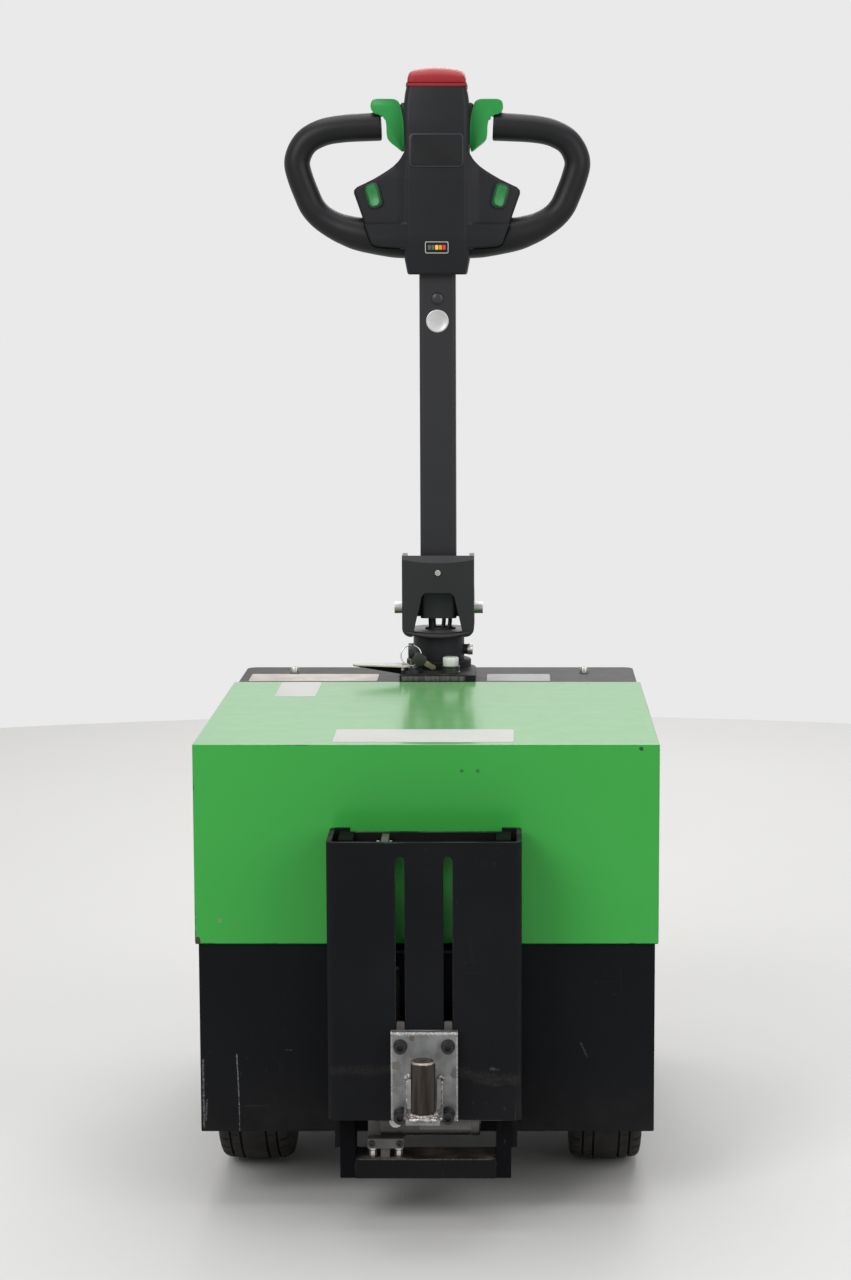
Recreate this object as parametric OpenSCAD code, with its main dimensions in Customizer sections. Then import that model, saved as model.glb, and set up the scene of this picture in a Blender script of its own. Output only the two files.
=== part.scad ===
// Pedestrian electric tug with a height-adjustable coupling mast, in millimetres.
// X to the right seen from the coupling side, Y towards the operator, Z up from the floor.

/* [Body] */
// Overall width of the hood
hood_w = 470; // [440:1:510]
// Length of the hood from its front face to its rear edge
hood_l = 434; // [405:1:440]
// Height of the hood top above the floor
hood_top_z = 481; // [470:1:500]
// Height of the hood sides
hood_side_h = 205; // [150:1:230]
// Thickness of hood and chassis sheet
sheet_t = 3; // [2:0.5:4]
// Gap between the hood and the chassis it covers
hood_gap = 0.5; // [0.3:0.1:0.9]
// Length of the rear deck from the hood to the rear panel
deck_l = 141; // [130:1:165]
// Height of the chassis lower edge above the floor
chassis_bottom_z = 79; // [60:1:100]
// Radius of the rear corners of chassis and deck
corner_r = 12; // [6:1:20]
// Width of the rear wheel arch
arch_w = 190; // [165:1:240]
// Height of the rear wheel arch above the floor
arch_top_z = 175; // [160:1:220]
// How far the deck runs on below the hood
deck_lap = 20; // [10:1:30]
// Width of the charge socket cover
socket_w = 56; // [40:1:80]
// Height of the charge socket cover
socket_h = 46; // [30:1:60]
// How far the charge socket cover stands proud
socket_t = 8; // [5:1:15]

/* [Battery] */
// Width of the battery pack
battery_w = 340; // [280:1:400]
// Length of the battery pack
battery_l = 270; // [220:1:290]
// Gap between the battery pack and the level of the deck
battery_gap = 22; // [15:1:50]
// Gap between the drive tyres and the battery tray
tray_gap = 8; // [6:1:12]

/* [Drive] */
// Outer radius of the drive tyres
tyre_r = 130; // [120:1:132]
// Width of the drive tyres
tyre_w = 76; // [66:1:80]
// Gap between a drive tyre and the side plate
tyre_side_gap = 5; // [5:0.5:12]
// Radius at which the drive tyre sits on its rim
bead_r = 58; // [52:1:70]
// Depth of the dishes in the drive rims
rim_dish = 4; // [2:0.5:5]
// Distance of the drive axle behind the hood front face
axle_back = 181; // [170:1:188]
// Radius of the axle tubes
axle_tube_r = 26; // [22:1:30]
// Radius of the half shafts
shaft_r = 13; // [10:0.5:16]
// Running clearance of shafts and pins
run_gap = 0.3; // [0.2:0.05:0.5]
// Radius of the differential housing
diff_r = 58; // [50:1:64]
// Width of the differential housing
diff_w = 84; // [70:1:110]
// Radius of the drive motor
motor_r = 50; // [42:1:55]
// Gap between the brake on the motor and the steering axis
motor_clear = 118; // [105:1:145]
// Length of the brake on the motor end
brake_l = 28; // [20:1:35]

/* [Rear wheel] */
// Outer radius of the rear tyre
rear_r = 62.5; // [55:0.5:66]
// Width of the rear tyre
rear_w = 50; // [40:1:54]
// Thickness of the rear tyre tread
rear_tread = 13; // [8:1:18]
// Thickness of the rear fork plates
rear_fork_t = 6; // [5:0.5:8]
// Gap between the rear wheel and its fork
rear_gap = 6; // [5:0.5:9]
// Radius of the rear axle bolt
rear_axle_r = 8; // [6:0.5:10]

/* [Steering] */
// Distance of the steering axis behind the hood
steer_gap = 76; // [72:1:80]
// Radius of the steering shaft below the column
steer_shaft_r = 18; // [14:0.5:22]
// Radius of the column above the deck
column_r = 30; // [26:1:33]
// Half width of the console on the deck
console_half = 44; // [42:1:50]
// Height of the console above the deck
console_h = 10; // [8:1:15]
// Radius of the bearing boss on the console
boss_r = 38; // [35:1:41]
// Height of the bearing boss above the console
boss_h = 10; // [5:1:12]
// Height of the underside of the tiller fork above the deck
fork_up = 50; // [48:1:58]
// Width of the tiller fork
fork_w = 84; // [80:1:92]
// Thickness of the tiller fork plate
fork_t = 5.5; // [5:0.5:7]
// Height of the tiller fork front wall
fork_h = 95; // [88:1:105]
// Distance of the fork front wall ahead of the steering axis
fork_front = 39; // [38:1:44]
// Depth of the tiller fork front wall at its middle
fork_wall = 8; // [7.5:0.5:9]
// Radius of the bow in the tiller fork front wall
fork_bow = 240; // [220:1:300]
// Outer bend radius at the foot of the tiller fork
fork_bend = 10; // [8:0.5:12]
// Height of the tiller pivot above the fork underside
pivot_h = 30.5; // [30:0.5:34]
// Radius of the tiller pivot pin
pivot_r = 7; // [5:0.5:7.5]
// Length of the tiller pivot pin
pivot_l = 104; // [100:1:112]
// Radius of the upright stop bumper
bumper_r = 8; // [6:0.5:10]

/* [Tiller] */
// Width of the tiller arm
arm_w = 42; // [38:1:46]
// Depth of the tiller arm
arm_d = 34; // [30:1:35]
// Wall of the tiller arm
arm_t = 3; // [2:0.5:4]
// Corner radius of the tiller arm
arm_r = 5; // [3.5:0.5:7]
// Length of the tiller arm from its pivot to the head
arm_l = 389.5; // [370:0.5:410]
// Half width of the tiller head shell
head_half = 37.5; // [35:0.5:42]
// Height of the tiller head shell
head_h = 217; // [210:1:226]
// Depth of the tiller head shell
head_d = 72; // [66:1:80]
// Height of the domed belly button
belly_h = 19.4; // [12:0.1:22]
// Distance from the head centre to the outermost grip axis
grip_reach = 162; // [152:1:168]
// Radius of the grips
grip_r = 15; // [12:0.5:16]
// Height of the upper grip axis above the head lower end
grip_top = 169.5; // [166:0.5:172]
// Height of the lower grip axis above the head lower end
grip_low = 38.5; // [35:0.5:41]
// Distance from the head centre to the free grip end
grip_end = 64.5; // [62.5:0.5:72]
// Distance from the head centre to the wing tip
wing_half = 96; // [90:1:98]
// Thickness of the wings
wing_t = 18; // [12:1:20]
// Depth of the thumb levers
lever_d = 24; // [16:1:28]

/* [Mast] */
// Gap between the hood front face and the carriage
mast_gap = 8; // [6:0.5:14]
// Width of the carriage
carriage_w = 192; // [188:1:210]
// Depth of the carriage
carriage_d = 77; // [75:1:85]
// Height of the carriage
carriage_h = 280; // [270:1:300]
// Sheet thickness of the carriage
carriage_t = 5; // [4:0.5:6]
// Outer bend radius of the carriage
carriage_r = 8; // [7:0.5:11]
// Width of the carriage lips
lip_w = 20; // [16:1:20.5]
// Height of the carriage lower edge above the floor at rest
carriage_z = 118; // [116:1:126]
// Width of a rail
rail_w = 15; // [12:1:15]
// Depth of a rail
rail_d = 40; // [36:1:44]
// Gap between rail and carriage
rail_gap = 5.5; // [5:0.5:7]
// Gap between a glide pad and the carriage
pad_gap = 0.3; // [0.2:0.1:0.6]
// Height of the rail foot above the floor
rail_z = 51; // [45:1:58]
// Height of the foot bar
foot_h = 20; // [15:1:20]
// Height of the rail top above the floor
rail_top_z = 397; // [385:1:398]
// Gap between the carriage lips and the rails
lip_gap = 9; // [6:0.5:11]
// Distance of the lift actuator left of the centre
lift_x = 39; // [37:0.5:45]
// Radius of the lift actuator tube
tube_r = 13; // [11:0.5:13.5]
// Radius of the lift actuator rod
rod_r = 8; // [6:0.5:9]
// Radius of the lift motor
lift_motor_r = 13.5; // [12:0.5:15]

/* [Coupling] */
// Width of the tow plate
plate_w = 66; // [64:1:80]
// Height of the tow plate
plate_h = 90; // [86:1:100]
// Thickness of the tow plate
plate_t = 8; // [6:0.5:12]
// Sideways spacing of the tow bolts and slots
bolt_x = 47; // [46:0.5:50]
// Upright spacing of the tow bolts
bolt_z = 68; // [64:1:71]
// Radius of the tow bolts
bolt_r = 4; // [3:0.5:4.2]
// Width of the carriage slots
slot_w = 9; // [8.8:0.1:10]
// Radius of the tow pin
pin_r = 12; // [9:0.5:12.2]
// Length of the tow pin above its shelf
pin_l = 54; // [45:1:60]
// Bevel around the top of the tow pin
pin_bevel = 1.2; // [0.5:0.1:3]
// Distance of the tow pin ahead of the tow plate
pin_out = 37; // [34:1:45]
// Width of the tow shelf
shelf_w = 33; // [33:1:38]
// Thickness of the tow shelf
shelf_t = 6; // [5:0.5:8]
// Height of the tow shelf above the lower edge of the plate
shelf_up = 12; // [10:1:18]

/* [Hidden] */
$fn = 96;

seat = 0.05;
front_reach = mast_gap + carriage_d + plate_t + pin_out + shelf_w / 2;
body_l = hood_l + deck_l;
rear_reach = body_l + socket_t;
y_hood = front_reach - (front_reach + rear_reach) / 2;
y_rear = y_hood + body_l;
chassis_half = hood_w / 2 - sheet_t - hood_gap;
inner_half = chassis_half - sheet_t;
y_chassis = y_hood + sheet_t + hood_gap;
deck_z = hood_top_z - sheet_t;
rear_stub = corner_r + 18;
tray_z = 2 * tyre_r + tray_gap;
y_axle = y_hood + axle_back;
wheel_x = inner_half - tyre_side_gap - tyre_w / 2;
axle_tube_end = wheel_x - tyre_w / 2 - 15;
shaft_in = 45;
y_steer = y_hood + hood_l + steer_gap;
neck_l = diff_r + 6;
motor_l = y_steer - motor_clear - y_axle - neck_l - brake_l;
battery_h = deck_z - battery_gap - tray_z - sheet_t;
fork_z = deck_z + fork_up;
console_z = deck_z + console_h;
boss_z = console_z + boss_h;
fork_half = fork_w / 2;
pivot_z = fork_z + pivot_h;
head_z = pivot_z + arm_l;
rear_half = rear_w / 2 + rear_gap;
rear_fork_z = 2 * rear_r + rear_gap + 6;
rear_top_z = rear_fork_z + 8;
cross_z = tray_z - 18;
y_lip = y_hood - mast_gap;
y_plate = y_lip - carriage_d;
y_rail = y_lip - carriage_t - lip_gap - rail_d;
rail_out = carriage_w / 2 - carriage_t - rail_gap;
rail_in = rail_out - rail_w;
y_lift = y_rail + 14;
y_pin = y_plate - plate_t - pin_out;
plate_z = carriage_z + 2;
shelf_z = plate_z + shelf_up + shelf_t;
bolt_low = plate_z + (plate_h - bolt_z) / 2 - 3;
lift_box_z = rail_z + foot_h;
lift_motor_z = lift_box_z + 22 + lift_motor_r;
tube_z = lift_box_z + 37;
tube_top = tube_z + 155;
rod_top = carriage_z + 262;
eye_r = rod_r + 3;
key_x = -31;
y_key = y_steer - 51;
button_x = 15;
bumper_z = fork_z + fork_h - 19;

module at_y(y) {
    translate([0, y, 0]) children();
}

module mirrored_x() {
    children();
    mirror([1, 0, 0]) children();
}

module rounded(w, d, r) {
    square([w - 2 * r, d], center = true);
    square([w, d - 2 * r], center = true);
    for (x = [-1, 1], y = [-1, 1])
        translate([x * (w / 2 - r), y * (d / 2 - r)]) circle(r);
}

module along_x(r, x0, x1) {
    translate([x0, 0, 0]) rotate([0, 90, 0]) cylinder(r = r, h = x1 - x0);
}

module along_y(r, y0, y1) {
    translate([0, y0, 0]) rotate([-90, 0, 0]) cylinder(r = r, h = y1 - y0);
}

// Flat shape drawn in x and z, given thickness from y0 to y1
module upright(y0, y1) {
    translate([0, y1, 0]) rotate([90, 0, 0]) linear_extrude(y1 - y0) children();
}

// Flat shape drawn in y and z, given thickness from x0 to x1
module sideways(x0, x1) {
    translate([x0, 0, 0]) rotate([90, 0, 90]) linear_extrude(x1 - x0) children();
}

module slab(x0, x1, y0, y1, z0, z1) {
    translate([x0, y0, z0]) cube([x1 - x0, y1 - y0, z1 - z0]);
}

module body_outline(r) {
    length = y_rear - y_chassis;
    translate([-chassis_half, y_chassis]) square([2 * chassis_half, length - r]);
    translate([-chassis_half + r, y_rear - r]) square([2 * (chassis_half - r), r]);
    for (x = [-1, 1]) translate([x * (chassis_half - r), y_rear - r]) circle(r);
}

module chassis_front() {
    slab(-chassis_half, chassis_half, y_chassis, y_chassis + sheet_t, chassis_bottom_z, deck_z);
}

module chassis_sides() {
    mirrored_x() slab(inner_half, chassis_half, y_chassis + sheet_t, y_rear - rear_stub,
        chassis_bottom_z, deck_z - sheet_t);
}

module chassis_rear() {
    difference() {
        translate([0, 0, chassis_bottom_z]) linear_extrude(deck_z - sheet_t - chassis_bottom_z)
            difference() {
                body_outline(corner_r);
                offset_inner();
                translate([-hood_w, y_rear - rear_stub - body_l]) square([2 * hood_w, body_l]);
            }
        upright(y_rear - sheet_t - 1, y_rear + 1) arch_shape();
    }
}

module offset_inner() {
    r = corner_r - sheet_t;
    translate([-inner_half, y_chassis]) square([2 * inner_half, y_rear - sheet_t - y_chassis - r]);
    translate([-inner_half + r, y_rear - sheet_t - r]) square([2 * (inner_half - r), r]);
    for (x = [-1, 1]) translate([x * (inner_half - r), y_rear - sheet_t - r]) circle(r);
}

module arch_shape() {
    r = 40;
    translate([-arch_w / 2, 0]) square([arch_w, arch_top_z - r]);
    translate([-arch_w / 2 + r, 0]) square([arch_w - 2 * r, arch_top_z]);
    for (x = [-1, 1]) translate([x * (arch_w / 2 - r), arch_top_z - r]) circle(r);
}

module rear_deck() {
    difference() {
        translate([0, 0, deck_z - sheet_t]) linear_extrude(sheet_t) difference() {
            body_outline(corner_r);
            translate([-hood_w, y_hood - 1]) square([2 * hood_w, hood_l - deck_lap + 1]);
        }
        at_y(y_steer) cylinder(r = steer_shaft_r + 6, h = hood_top_z);
    }
}

module battery_tray() {
    slab(-inner_half, inner_half, y_chassis + sheet_t, y_hood + hood_l - 14, tray_z, tray_z + sheet_t);
}

module battery_pack() {
    y0 = y_hood + hood_l - 40 - battery_l;
    slab(-battery_w / 2, battery_w / 2, y0, y0 + battery_l, tray_z + sheet_t, tray_z + sheet_t + battery_h);
}

module hood() {
    half = hood_w / 2;
    difference() {
        slab(-half, half, y_hood, y_hood + hood_l, hood_top_z - hood_side_h, hood_top_z);
        slab(-half + sheet_t, half - sheet_t, y_hood + sheet_t, y_hood + hood_l + 1,
            hood_top_z - hood_side_h - 1, deck_z);
    }
}

module charge_socket() {
    translate([0, y_rear + socket_t, deck_z - 80]) rotate([90, 0, 0]) linear_extrude(socket_t)
        rounded(socket_w, socket_h, 6);
}

module transaxle() {
    bracket_x = diff_w / 2 + 40;
    at_y(y_axle) translate([0, 0, tyre_r]) difference() {
        union() {
            along_x(diff_r, -diff_w / 2, diff_w / 2);
            along_x(axle_tube_r, -axle_tube_end, axle_tube_end);
            along_y(motor_r - 8, 0, neck_l);
            for (x = [-1, 1]) translate([x * bracket_x - 4, -30, 0]) cube([8, 60, tray_z - tyre_r]);
        }
        mirrored_x() along_x(shaft_r + run_gap, axle_tube_end - shaft_in - 2, axle_tube_end + 1);
    }
}

module drive_motor() {
    at_y(y_axle) translate([0, 0, tyre_r]) {
        along_y(motor_r, neck_l, neck_l + motor_l);
        along_y(motor_r - 9, neck_l + motor_l, neck_l + motor_l + brake_l);
    }
}

module mast_rails() {
    mirrored_x() slab(rail_in, rail_out, y_rail, y_rail + rail_d, rail_z, rail_top_z);
}

module mast_crossbars() {
    slab(-rail_in, rail_in, y_rail, y_rail + rail_d, rail_z, rail_z + foot_h);
    slab(-rail_in, rail_in, y_rail + rail_d - 6, y_rail + rail_d, rail_top_z - 22, rail_top_z);
}

module mast_brackets() {
    mid_z = hood_top_z - hood_side_h - 26;
    slab(-rail_in, rail_in, y_rail + rail_d - 10, y_rail + rail_d, mid_z - 25, mid_z + 25);
    slab(-rail_in + 12, rail_in - 12, y_rail + rail_d, y_chassis, mid_z - 15, mid_z + 15);
    mirrored_x() slab(rail_out, rail_out + 6, y_rail + 12, y_chassis, rail_z + 28, carriage_z - 5);
}

module glide_pads() {
    mirrored_x() for (z = [carriage_z + 14, rail_top_z - 62])
        slab(rail_out, rail_out + rail_gap - pad_gap, y_rail + 9, y_rail + rail_d - 9, z, z + 50);
}

module lift_actuator() {
    translate([-lift_x, y_lift, 0]) difference() {
        union() {
            slab(-19, 18, -3, 18, lift_box_z + 21, tube_z);
            slab(-19, 17, -14, 14, lift_box_z + 11, lift_box_z + 21);
            slab(-6, 3, -10, 10, lift_box_z, lift_box_z + 11);
            translate([0, 0, tube_z]) cylinder(r = tube_r, h = tube_top - tube_z);
            translate([0, -1.5, lift_motor_z]) along_x(lift_motor_r, -6, 93);
        }
        translate([0, 0, tube_z + 2]) cylinder(r = rod_r + run_gap, h = tube_top - tube_z);
    }
}

module lift_rod() {
    translate([-lift_x, y_lift, 0]) {
        translate([0, 0, tube_z + 5]) cylinder(r = rod_r, h = rod_top - tube_z - 5);
        translate([0, 0, rod_top]) along_y(eye_r, -12, 12);
    }
}

module rod_clevis() {
    y0 = y_plate + carriage_t;
    translate([-lift_x, 0, rod_top]) {
        slab(-9, 9, y0, y_lift - 12, -14, 8);
        slab(-3.5, 3.5, y0, y_lift - 12, 8, eye_r + 6);
        slab(-3.5, 3.5, y_lift - 12, y_lift + 14, eye_r + 1, eye_r + 6);
        slab(-3.5, 3.5, y_lift + 12.3, y_lift + 14, -5, eye_r + 1);
    }
}

module mast_carriage() {
    mid = y_plate + carriage_d / 2;
    difference() {
        translate([0, mid, carriage_z]) linear_extrude(carriage_h) difference() {
            rounded(carriage_w, carriage_d, carriage_r);
            rounded(carriage_w - 2 * carriage_t, carriage_d - 2 * carriage_t, carriage_r - carriage_t);
            translate([-carriage_w / 2 + lip_w, 0]) square([carriage_w - 2 * lip_w, carriage_d]);
        }
        mirrored_x() upright(y_plate - 1, y_plate + carriage_t + 1) translate([bolt_x / 2, 0]) slot_shape();
    }
}

module slot_shape() {
    low = carriage_z + 4 + slot_w / 2;
    high = carriage_z + carriage_h - 14 - slot_w / 2;
    translate([-slot_w / 2, low]) square([slot_w, high - low]);
    for (z = [low, high]) translate([0, z]) circle(slot_w / 2);
}

module tow_plate() {
    y1 = y_plate - plate_t;
    gusset_in = pin_r + 0.7;
    toe = y_pin + pin_r + 6;
    difference() {
        union() {
            slab(-plate_w / 2, plate_w / 2, y1, y_plate, plate_z, plate_z + plate_h);
            slab(-shelf_w / 2, shelf_w / 2, y_pin - shelf_w / 2, y1, shelf_z - shelf_t, shelf_z);
            mirrored_x() sideways(gusset_in, shelf_w / 2)
                polygon([[y1, shelf_z], [y1, shelf_z + 26], [y1 - 6, shelf_z + 26], [toe, shelf_z]]);
        }
        for (z = [0, bolt_z]) translate([0, 0, bolt_low + z]) mirrored_x()
            translate([bolt_x / 2, 0, 0]) along_y(bolt_r + 0.2, y1 - 1, y_plate + 1);
    }
}

module tow_pin() {
    at_y(y_pin) translate([0, 0, shelf_z]) {
        cylinder(r = pin_r, h = pin_l - pin_bevel);
        translate([0, 0, pin_l - pin_bevel]) cylinder(r1 = pin_r, r2 = pin_r - pin_bevel, h = pin_bevel);
    }
}

module tow_bolts() {
    y1 = y_plate - plate_t;
    y2 = y_plate + carriage_t;
    for (z = [0, bolt_z]) translate([0, 0, bolt_low + z]) mirrored_x() translate([bolt_x / 2, 0, 0])
        difference() {
            union() {
                along_y(1.6 * bolt_r, y1 - 2 * bolt_r, y1);
                along_y(bolt_r, y1, y2 + 9);
                along_y(1.75 * bolt_r, y2, y2 + 7);
            }
            along_y(0.8 * bolt_r, y1 - 2 * bolt_r - 1, y1 - bolt_r, $fn = 6);
        }
}

module tyre_profile(r, w, seat_r) {
    s = w / 2;
    polygon([[seat_r, -s * 0.72], [seat_r + 6, -s * 0.86], [r * 0.76, -s], [r * 0.87, -s * 0.97],
        [r * 0.955, -s * 0.84], [r * 0.99, -s * 0.6], [r, -s * 0.3], [r, s * 0.3], [r * 0.99, s * 0.6],
        [r * 0.955, s * 0.84], [r * 0.87, s * 0.97], [r * 0.76, s], [seat_r + 6, s * 0.86],
        [seat_r, s * 0.72]]);
}

module drive_tyre() {
    translate([wheel_x, y_axle, tyre_r]) rotate([0, 90, 0]) rotate_extrude()
        tyre_profile(tyre_r, tyre_w, bead_r);
}

module drive_rim() {
    half = tyre_w * 0.36;
    translate([wheel_x, y_axle, tyre_r]) {
        difference() {
            along_x(bead_r - seat, -half, half);
            along_x(bead_r - 7, -half - 1, -half + rim_dish);
            along_x(bead_r - 9, half - rim_dish, half + 1);
        }
        along_x(shaft_r + 17, -half - 12, half - 10);
        along_x(shaft_r + 8, half - 10, half);
        along_x(shaft_r, axle_tube_end - shaft_in - wheel_x, -half - 10);
    }
}

module drive_tyre_right() {
    drive_tyre();
}

module drive_tyre_left() {
    mirror([1, 0, 0]) drive_tyre();
}

module drive_rim_right() {
    drive_rim();
}

module drive_rim_left() {
    mirror([1, 0, 0]) drive_rim();
}

module steering_console() {
    y_front = y_hood + hood_l + 3;
    difference() {
        at_y(y_steer) {
            translate([0, 0, deck_z]) linear_extrude(console_h) {
                circle(console_half);
                translate([-console_half, y_front - y_steer]) square([2 * console_half, y_steer - y_front]);
            }
            translate([0, 0, deck_z]) cylinder(r = boss_r, h = console_h + boss_h);
        }
        at_y(y_steer) cylinder(r = steer_shaft_r + run_gap, h = fork_z);
    }
}

module steering_crossmember() {
    difference() {
        union() {
            slab(-inner_half, inner_half, y_steer - 60, y_rear - rear_stub, cross_z, cross_z + 8);
            at_y(y_steer) translate([0, 0, rear_top_z + run_gap])
                cylinder(r = steer_shaft_r + 10, h = cross_z + 30 - rear_top_z);
            slab(-70, 70, y_steer - 4, y_steer + 4, cross_z - 45, cross_z);
        }
        at_y(y_steer) cylinder(r = steer_shaft_r + run_gap, h = deck_z);
    }
}

module key_switch() {
    translate([key_x, y_key, console_z]) {
        cylinder(r = 13, h = 4);
        cylinder(r = 9, h = 7);
    }
}

module key_set() {
    translate([key_x, y_key, console_z + 7]) {
        slab(-1.2, 1.2, -4, 4, 0, 8);
        slab(-2.5, 2.5, -10, 10, 7, 24);
        translate([0, -6, 13]) translate([-9, 0, 0]) rotate([90, 0, 0])
            rotate_extrude($fn = 48) translate([10, 0]) circle(1.2, $fn = 16);
        translate([-9, -6, 3]) rotate([-8, -5, 0]) slab(-58, 0, -9, 9, -0.8, 0.8);
    }
}

module push_button() {
    translate([button_x, y_key, console_z]) {
        cylinder(r = 10, h = 10);
        cylinder(r = 9, h = 17);
    }
}

module steering_column() {
    at_y(y_steer) {
        translate([0, 0, rear_top_z]) cylinder(r = steer_shaft_r, h = boss_z + run_gap - rear_top_z);
        translate([0, 0, boss_z + run_gap]) cylinder(r = column_r, h = fork_z - boss_z - run_gap);
        translate([0, 0, boss_z + 11]) along_x(6, 0, column_r + 7.5);
    }
}

// Outline of the fork seen from the front, with bent lower corners
module fork_shape() {
    translate([-fork_half, fork_z + fork_bend]) square([fork_w, fork_h - fork_bend]);
    translate([-fork_half + fork_bend, fork_z]) square([fork_w - 2 * fork_bend, fork_bend]);
    mirrored_x() translate([fork_bend - fork_half, fork_z + fork_bend]) circle(fork_bend);
}

module fork_wall_plan() {
    intersection() {
        translate([-fork_half - 1, -fork_front]) square([fork_w + 2, fork_wall]);
        translate([0, fork_bow - fork_front]) circle(fork_bow, $fn = 360);
    }
}

module cheek_shape() {
    r = 25;
    translate([-fork_front, fork_z]) square([fork_front, fork_h]);
    translate([-fork_front, fork_z]) square([fork_front + r, pivot_h]);
    translate([0, pivot_z]) circle(r);
}

module tiller_fork() {
    window = fork_z + 52;
    top = fork_z + fork_h;
    inner = -fork_front + fork_wall;
    at_y(y_steer) difference() {
        union() {
            translate([0, 0, fork_z]) cylinder(r = fork_half - 3, h = fork_t);
            intersection() {
                upright(-fork_w, fork_w) fork_shape();
                union() {
                    slab(-fork_half, fork_half, -26, 25, fork_z, fork_z + fork_t);
                    mirrored_x() sideways(fork_half - fork_t, fork_half + 1) difference() {
                        cheek_shape();
                        translate([-fork_front - 1, fork_z - 1]) square([fork_wall - 1, fork_h + 2]);
                    }
                    difference() {
                        translate([0, 0, fork_z]) linear_extrude(fork_h) fork_wall_plan();
                        upright(-fork_front - 1, inner + 1)
                            polygon([[-30, fork_z - 1], [30, fork_z - 1], [19, window - 4], [15, window],
                                [-15, window], [-19, window - 4]]);
                    }
                }
            }
        }
        translate([0, 0, pivot_z]) along_x(pivot_r + 0.1, -fork_w, fork_w);
        sideways(-fork_w, fork_w) polygon([[-fork_front - 1, top + 1], [inner + 1, top + 1],
            [-fork_front - 1, top - fork_wall - 1]]);
    }
}

module tiller_pin() {
    translate([0, y_steer, pivot_z]) along_x(pivot_r, -pivot_l / 2, pivot_l / 2);
}

module stop_bumper() {
    translate([0, y_steer, bumper_z]) along_y(bumper_r, -fork_front + fork_wall + run_gap,
        -arm_d / 2 - run_gap);
}

module rear_fork() {
    out = rear_half + rear_fork_t;
    at_y(y_steer) difference() {
        union() {
            slab(-out, out, -36, 36, rear_fork_z, rear_top_z);
            mirrored_x() sideways(rear_half, out) {
                translate([-26, rear_r]) square([52, rear_fork_z - rear_r]);
                translate([0, rear_r]) circle(26);
            }
        }
        translate([0, 0, rear_r]) along_x(rear_axle_r + 0.1, -hood_w, hood_w);
    }
}

module rear_axle() {
    out = rear_half + rear_fork_t;
    translate([0, y_steer, rear_r]) {
        along_x(rear_axle_r, -out - 9, out + 9);
        along_x(rear_axle_r + 5, out, out + 7, $fn = 6);
        along_x(rear_axle_r + 5, -out - 7, -out, $fn = 6);
    }
}

module rear_tyre() {
    s = rear_w / 2;
    translate([0, y_steer, rear_r]) rotate([0, 90, 0]) rotate_extrude()
        polygon([[rear_r - rear_tread, -s], [rear_r - 4, -s], [rear_r, -s + 5], [rear_r, s - 5],
            [rear_r - 4, s], [rear_r - rear_tread, s]]);
}

module rear_rim() {
    s = rear_w / 2;
    translate([0, y_steer, rear_r]) difference() {
        union() {
            difference() {
                along_x(rear_r - rear_tread - seat, -s + 2, s - 2);
                along_x(rear_r - rear_tread - 6, -s, -10);
                along_x(rear_r - rear_tread - 6, 10, s);
            }
            along_x(rear_axle_r + 10, -s - rear_gap + run_gap, s + rear_gap - run_gap);
        }
        along_x(rear_axle_r + run_gap, -rear_w, rear_w);
    }
}

module tiller_cables() {
    at_y(y_steer) translate([0, 0, fork_z + fork_t]) {
        translate([-7, 0, 0]) cylinder(r = 4.5, h = 17, $fn = 24);
        for (x = [5, 12]) translate([x, 0, 0]) cylinder(r = 2.5, h = 17, $fn = 24);
    }
}

module tiller_arm() {
    low = pivot_z - pivot_r - 4;
    at_y(y_steer) difference() {
        union() {
            translate([0, 0, low]) linear_extrude(head_z - low) rounded(arm_w, arm_d, arm_r);
            translate([0, 0, pivot_z]) along_x(pivot_r + 3.5, -fork_half + fork_t + 0.5,
                fork_half - fork_t - 0.5);
        }
        translate([0, 0, low - 1]) linear_extrude(head_z - low - 3)
            rounded(arm_w - 2 * arm_t, arm_d - 2 * arm_t, max(arm_r - arm_t, 0.5));
        translate([0, 0, pivot_z]) along_x(pivot_r + run_gap, -fork_w, fork_w);
    }
}

module head_front_shape() {
    polygon([[-head_half + 3, 0], [head_half - 3, 0], [head_half, 18], [head_half, head_h - 25],
        [head_half - 4, head_h], [-head_half + 4, head_h], [-head_half, head_h - 25], [-head_half, 18]]);
}

module head_side_shape() {
    half = head_d / 2;
    polygon([[-half + 7, 0], [half - 9, 0], [half - 2, 45], [half, head_h * 0.65], [half - 6, head_h],
        [-half + 6, head_h], [-half, head_h * 0.8], [-half - 1, head_h * 0.5], [-half + 1, 40]]);
}

module wing_shape() {
    polygon([[head_half - 1, 141], [head_half + 3, 139], [head_half + 12, 121], [head_half + 22, 115],
        [wing_half - 2, 100], [wing_half, 96], [wing_half, 92], [wing_half - 10, 63], [wing_half - 20, 37],
        [wing_half - 24, 33], [head_half - 1, 30]]);
}

module head_shell() {
    translate([0, y_steer, head_z]) {
        intersection() {
            upright(-head_d, head_d) head_front_shape();
            sideways(-head_half, head_half) head_side_shape();
        }
        mirrored_x() upright(-grip_r - 0.6 - wing_t, -grip_r - 0.6) wing_shape();
    }
}

module belly_button() {
    half = head_d / 2 - 6;
    translate([0, y_steer, head_z + head_h]) sideways(-head_half + 4, head_half - 4)
        polygon([for (a = [0 : 10 : 180]) [half * cos(a), belly_h * sin(a)]]);
}

module rocker_switches() {
    front = -grip_r - 0.6 - wing_t;
    translate([0, y_steer, head_z]) mirrored_x() translate([wing_half - 22, 0, 90]) rotate([0, 16, 0])
        slab(-7.5, 7.5, front - 5, front, -13.5, 13.5);
}

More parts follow.
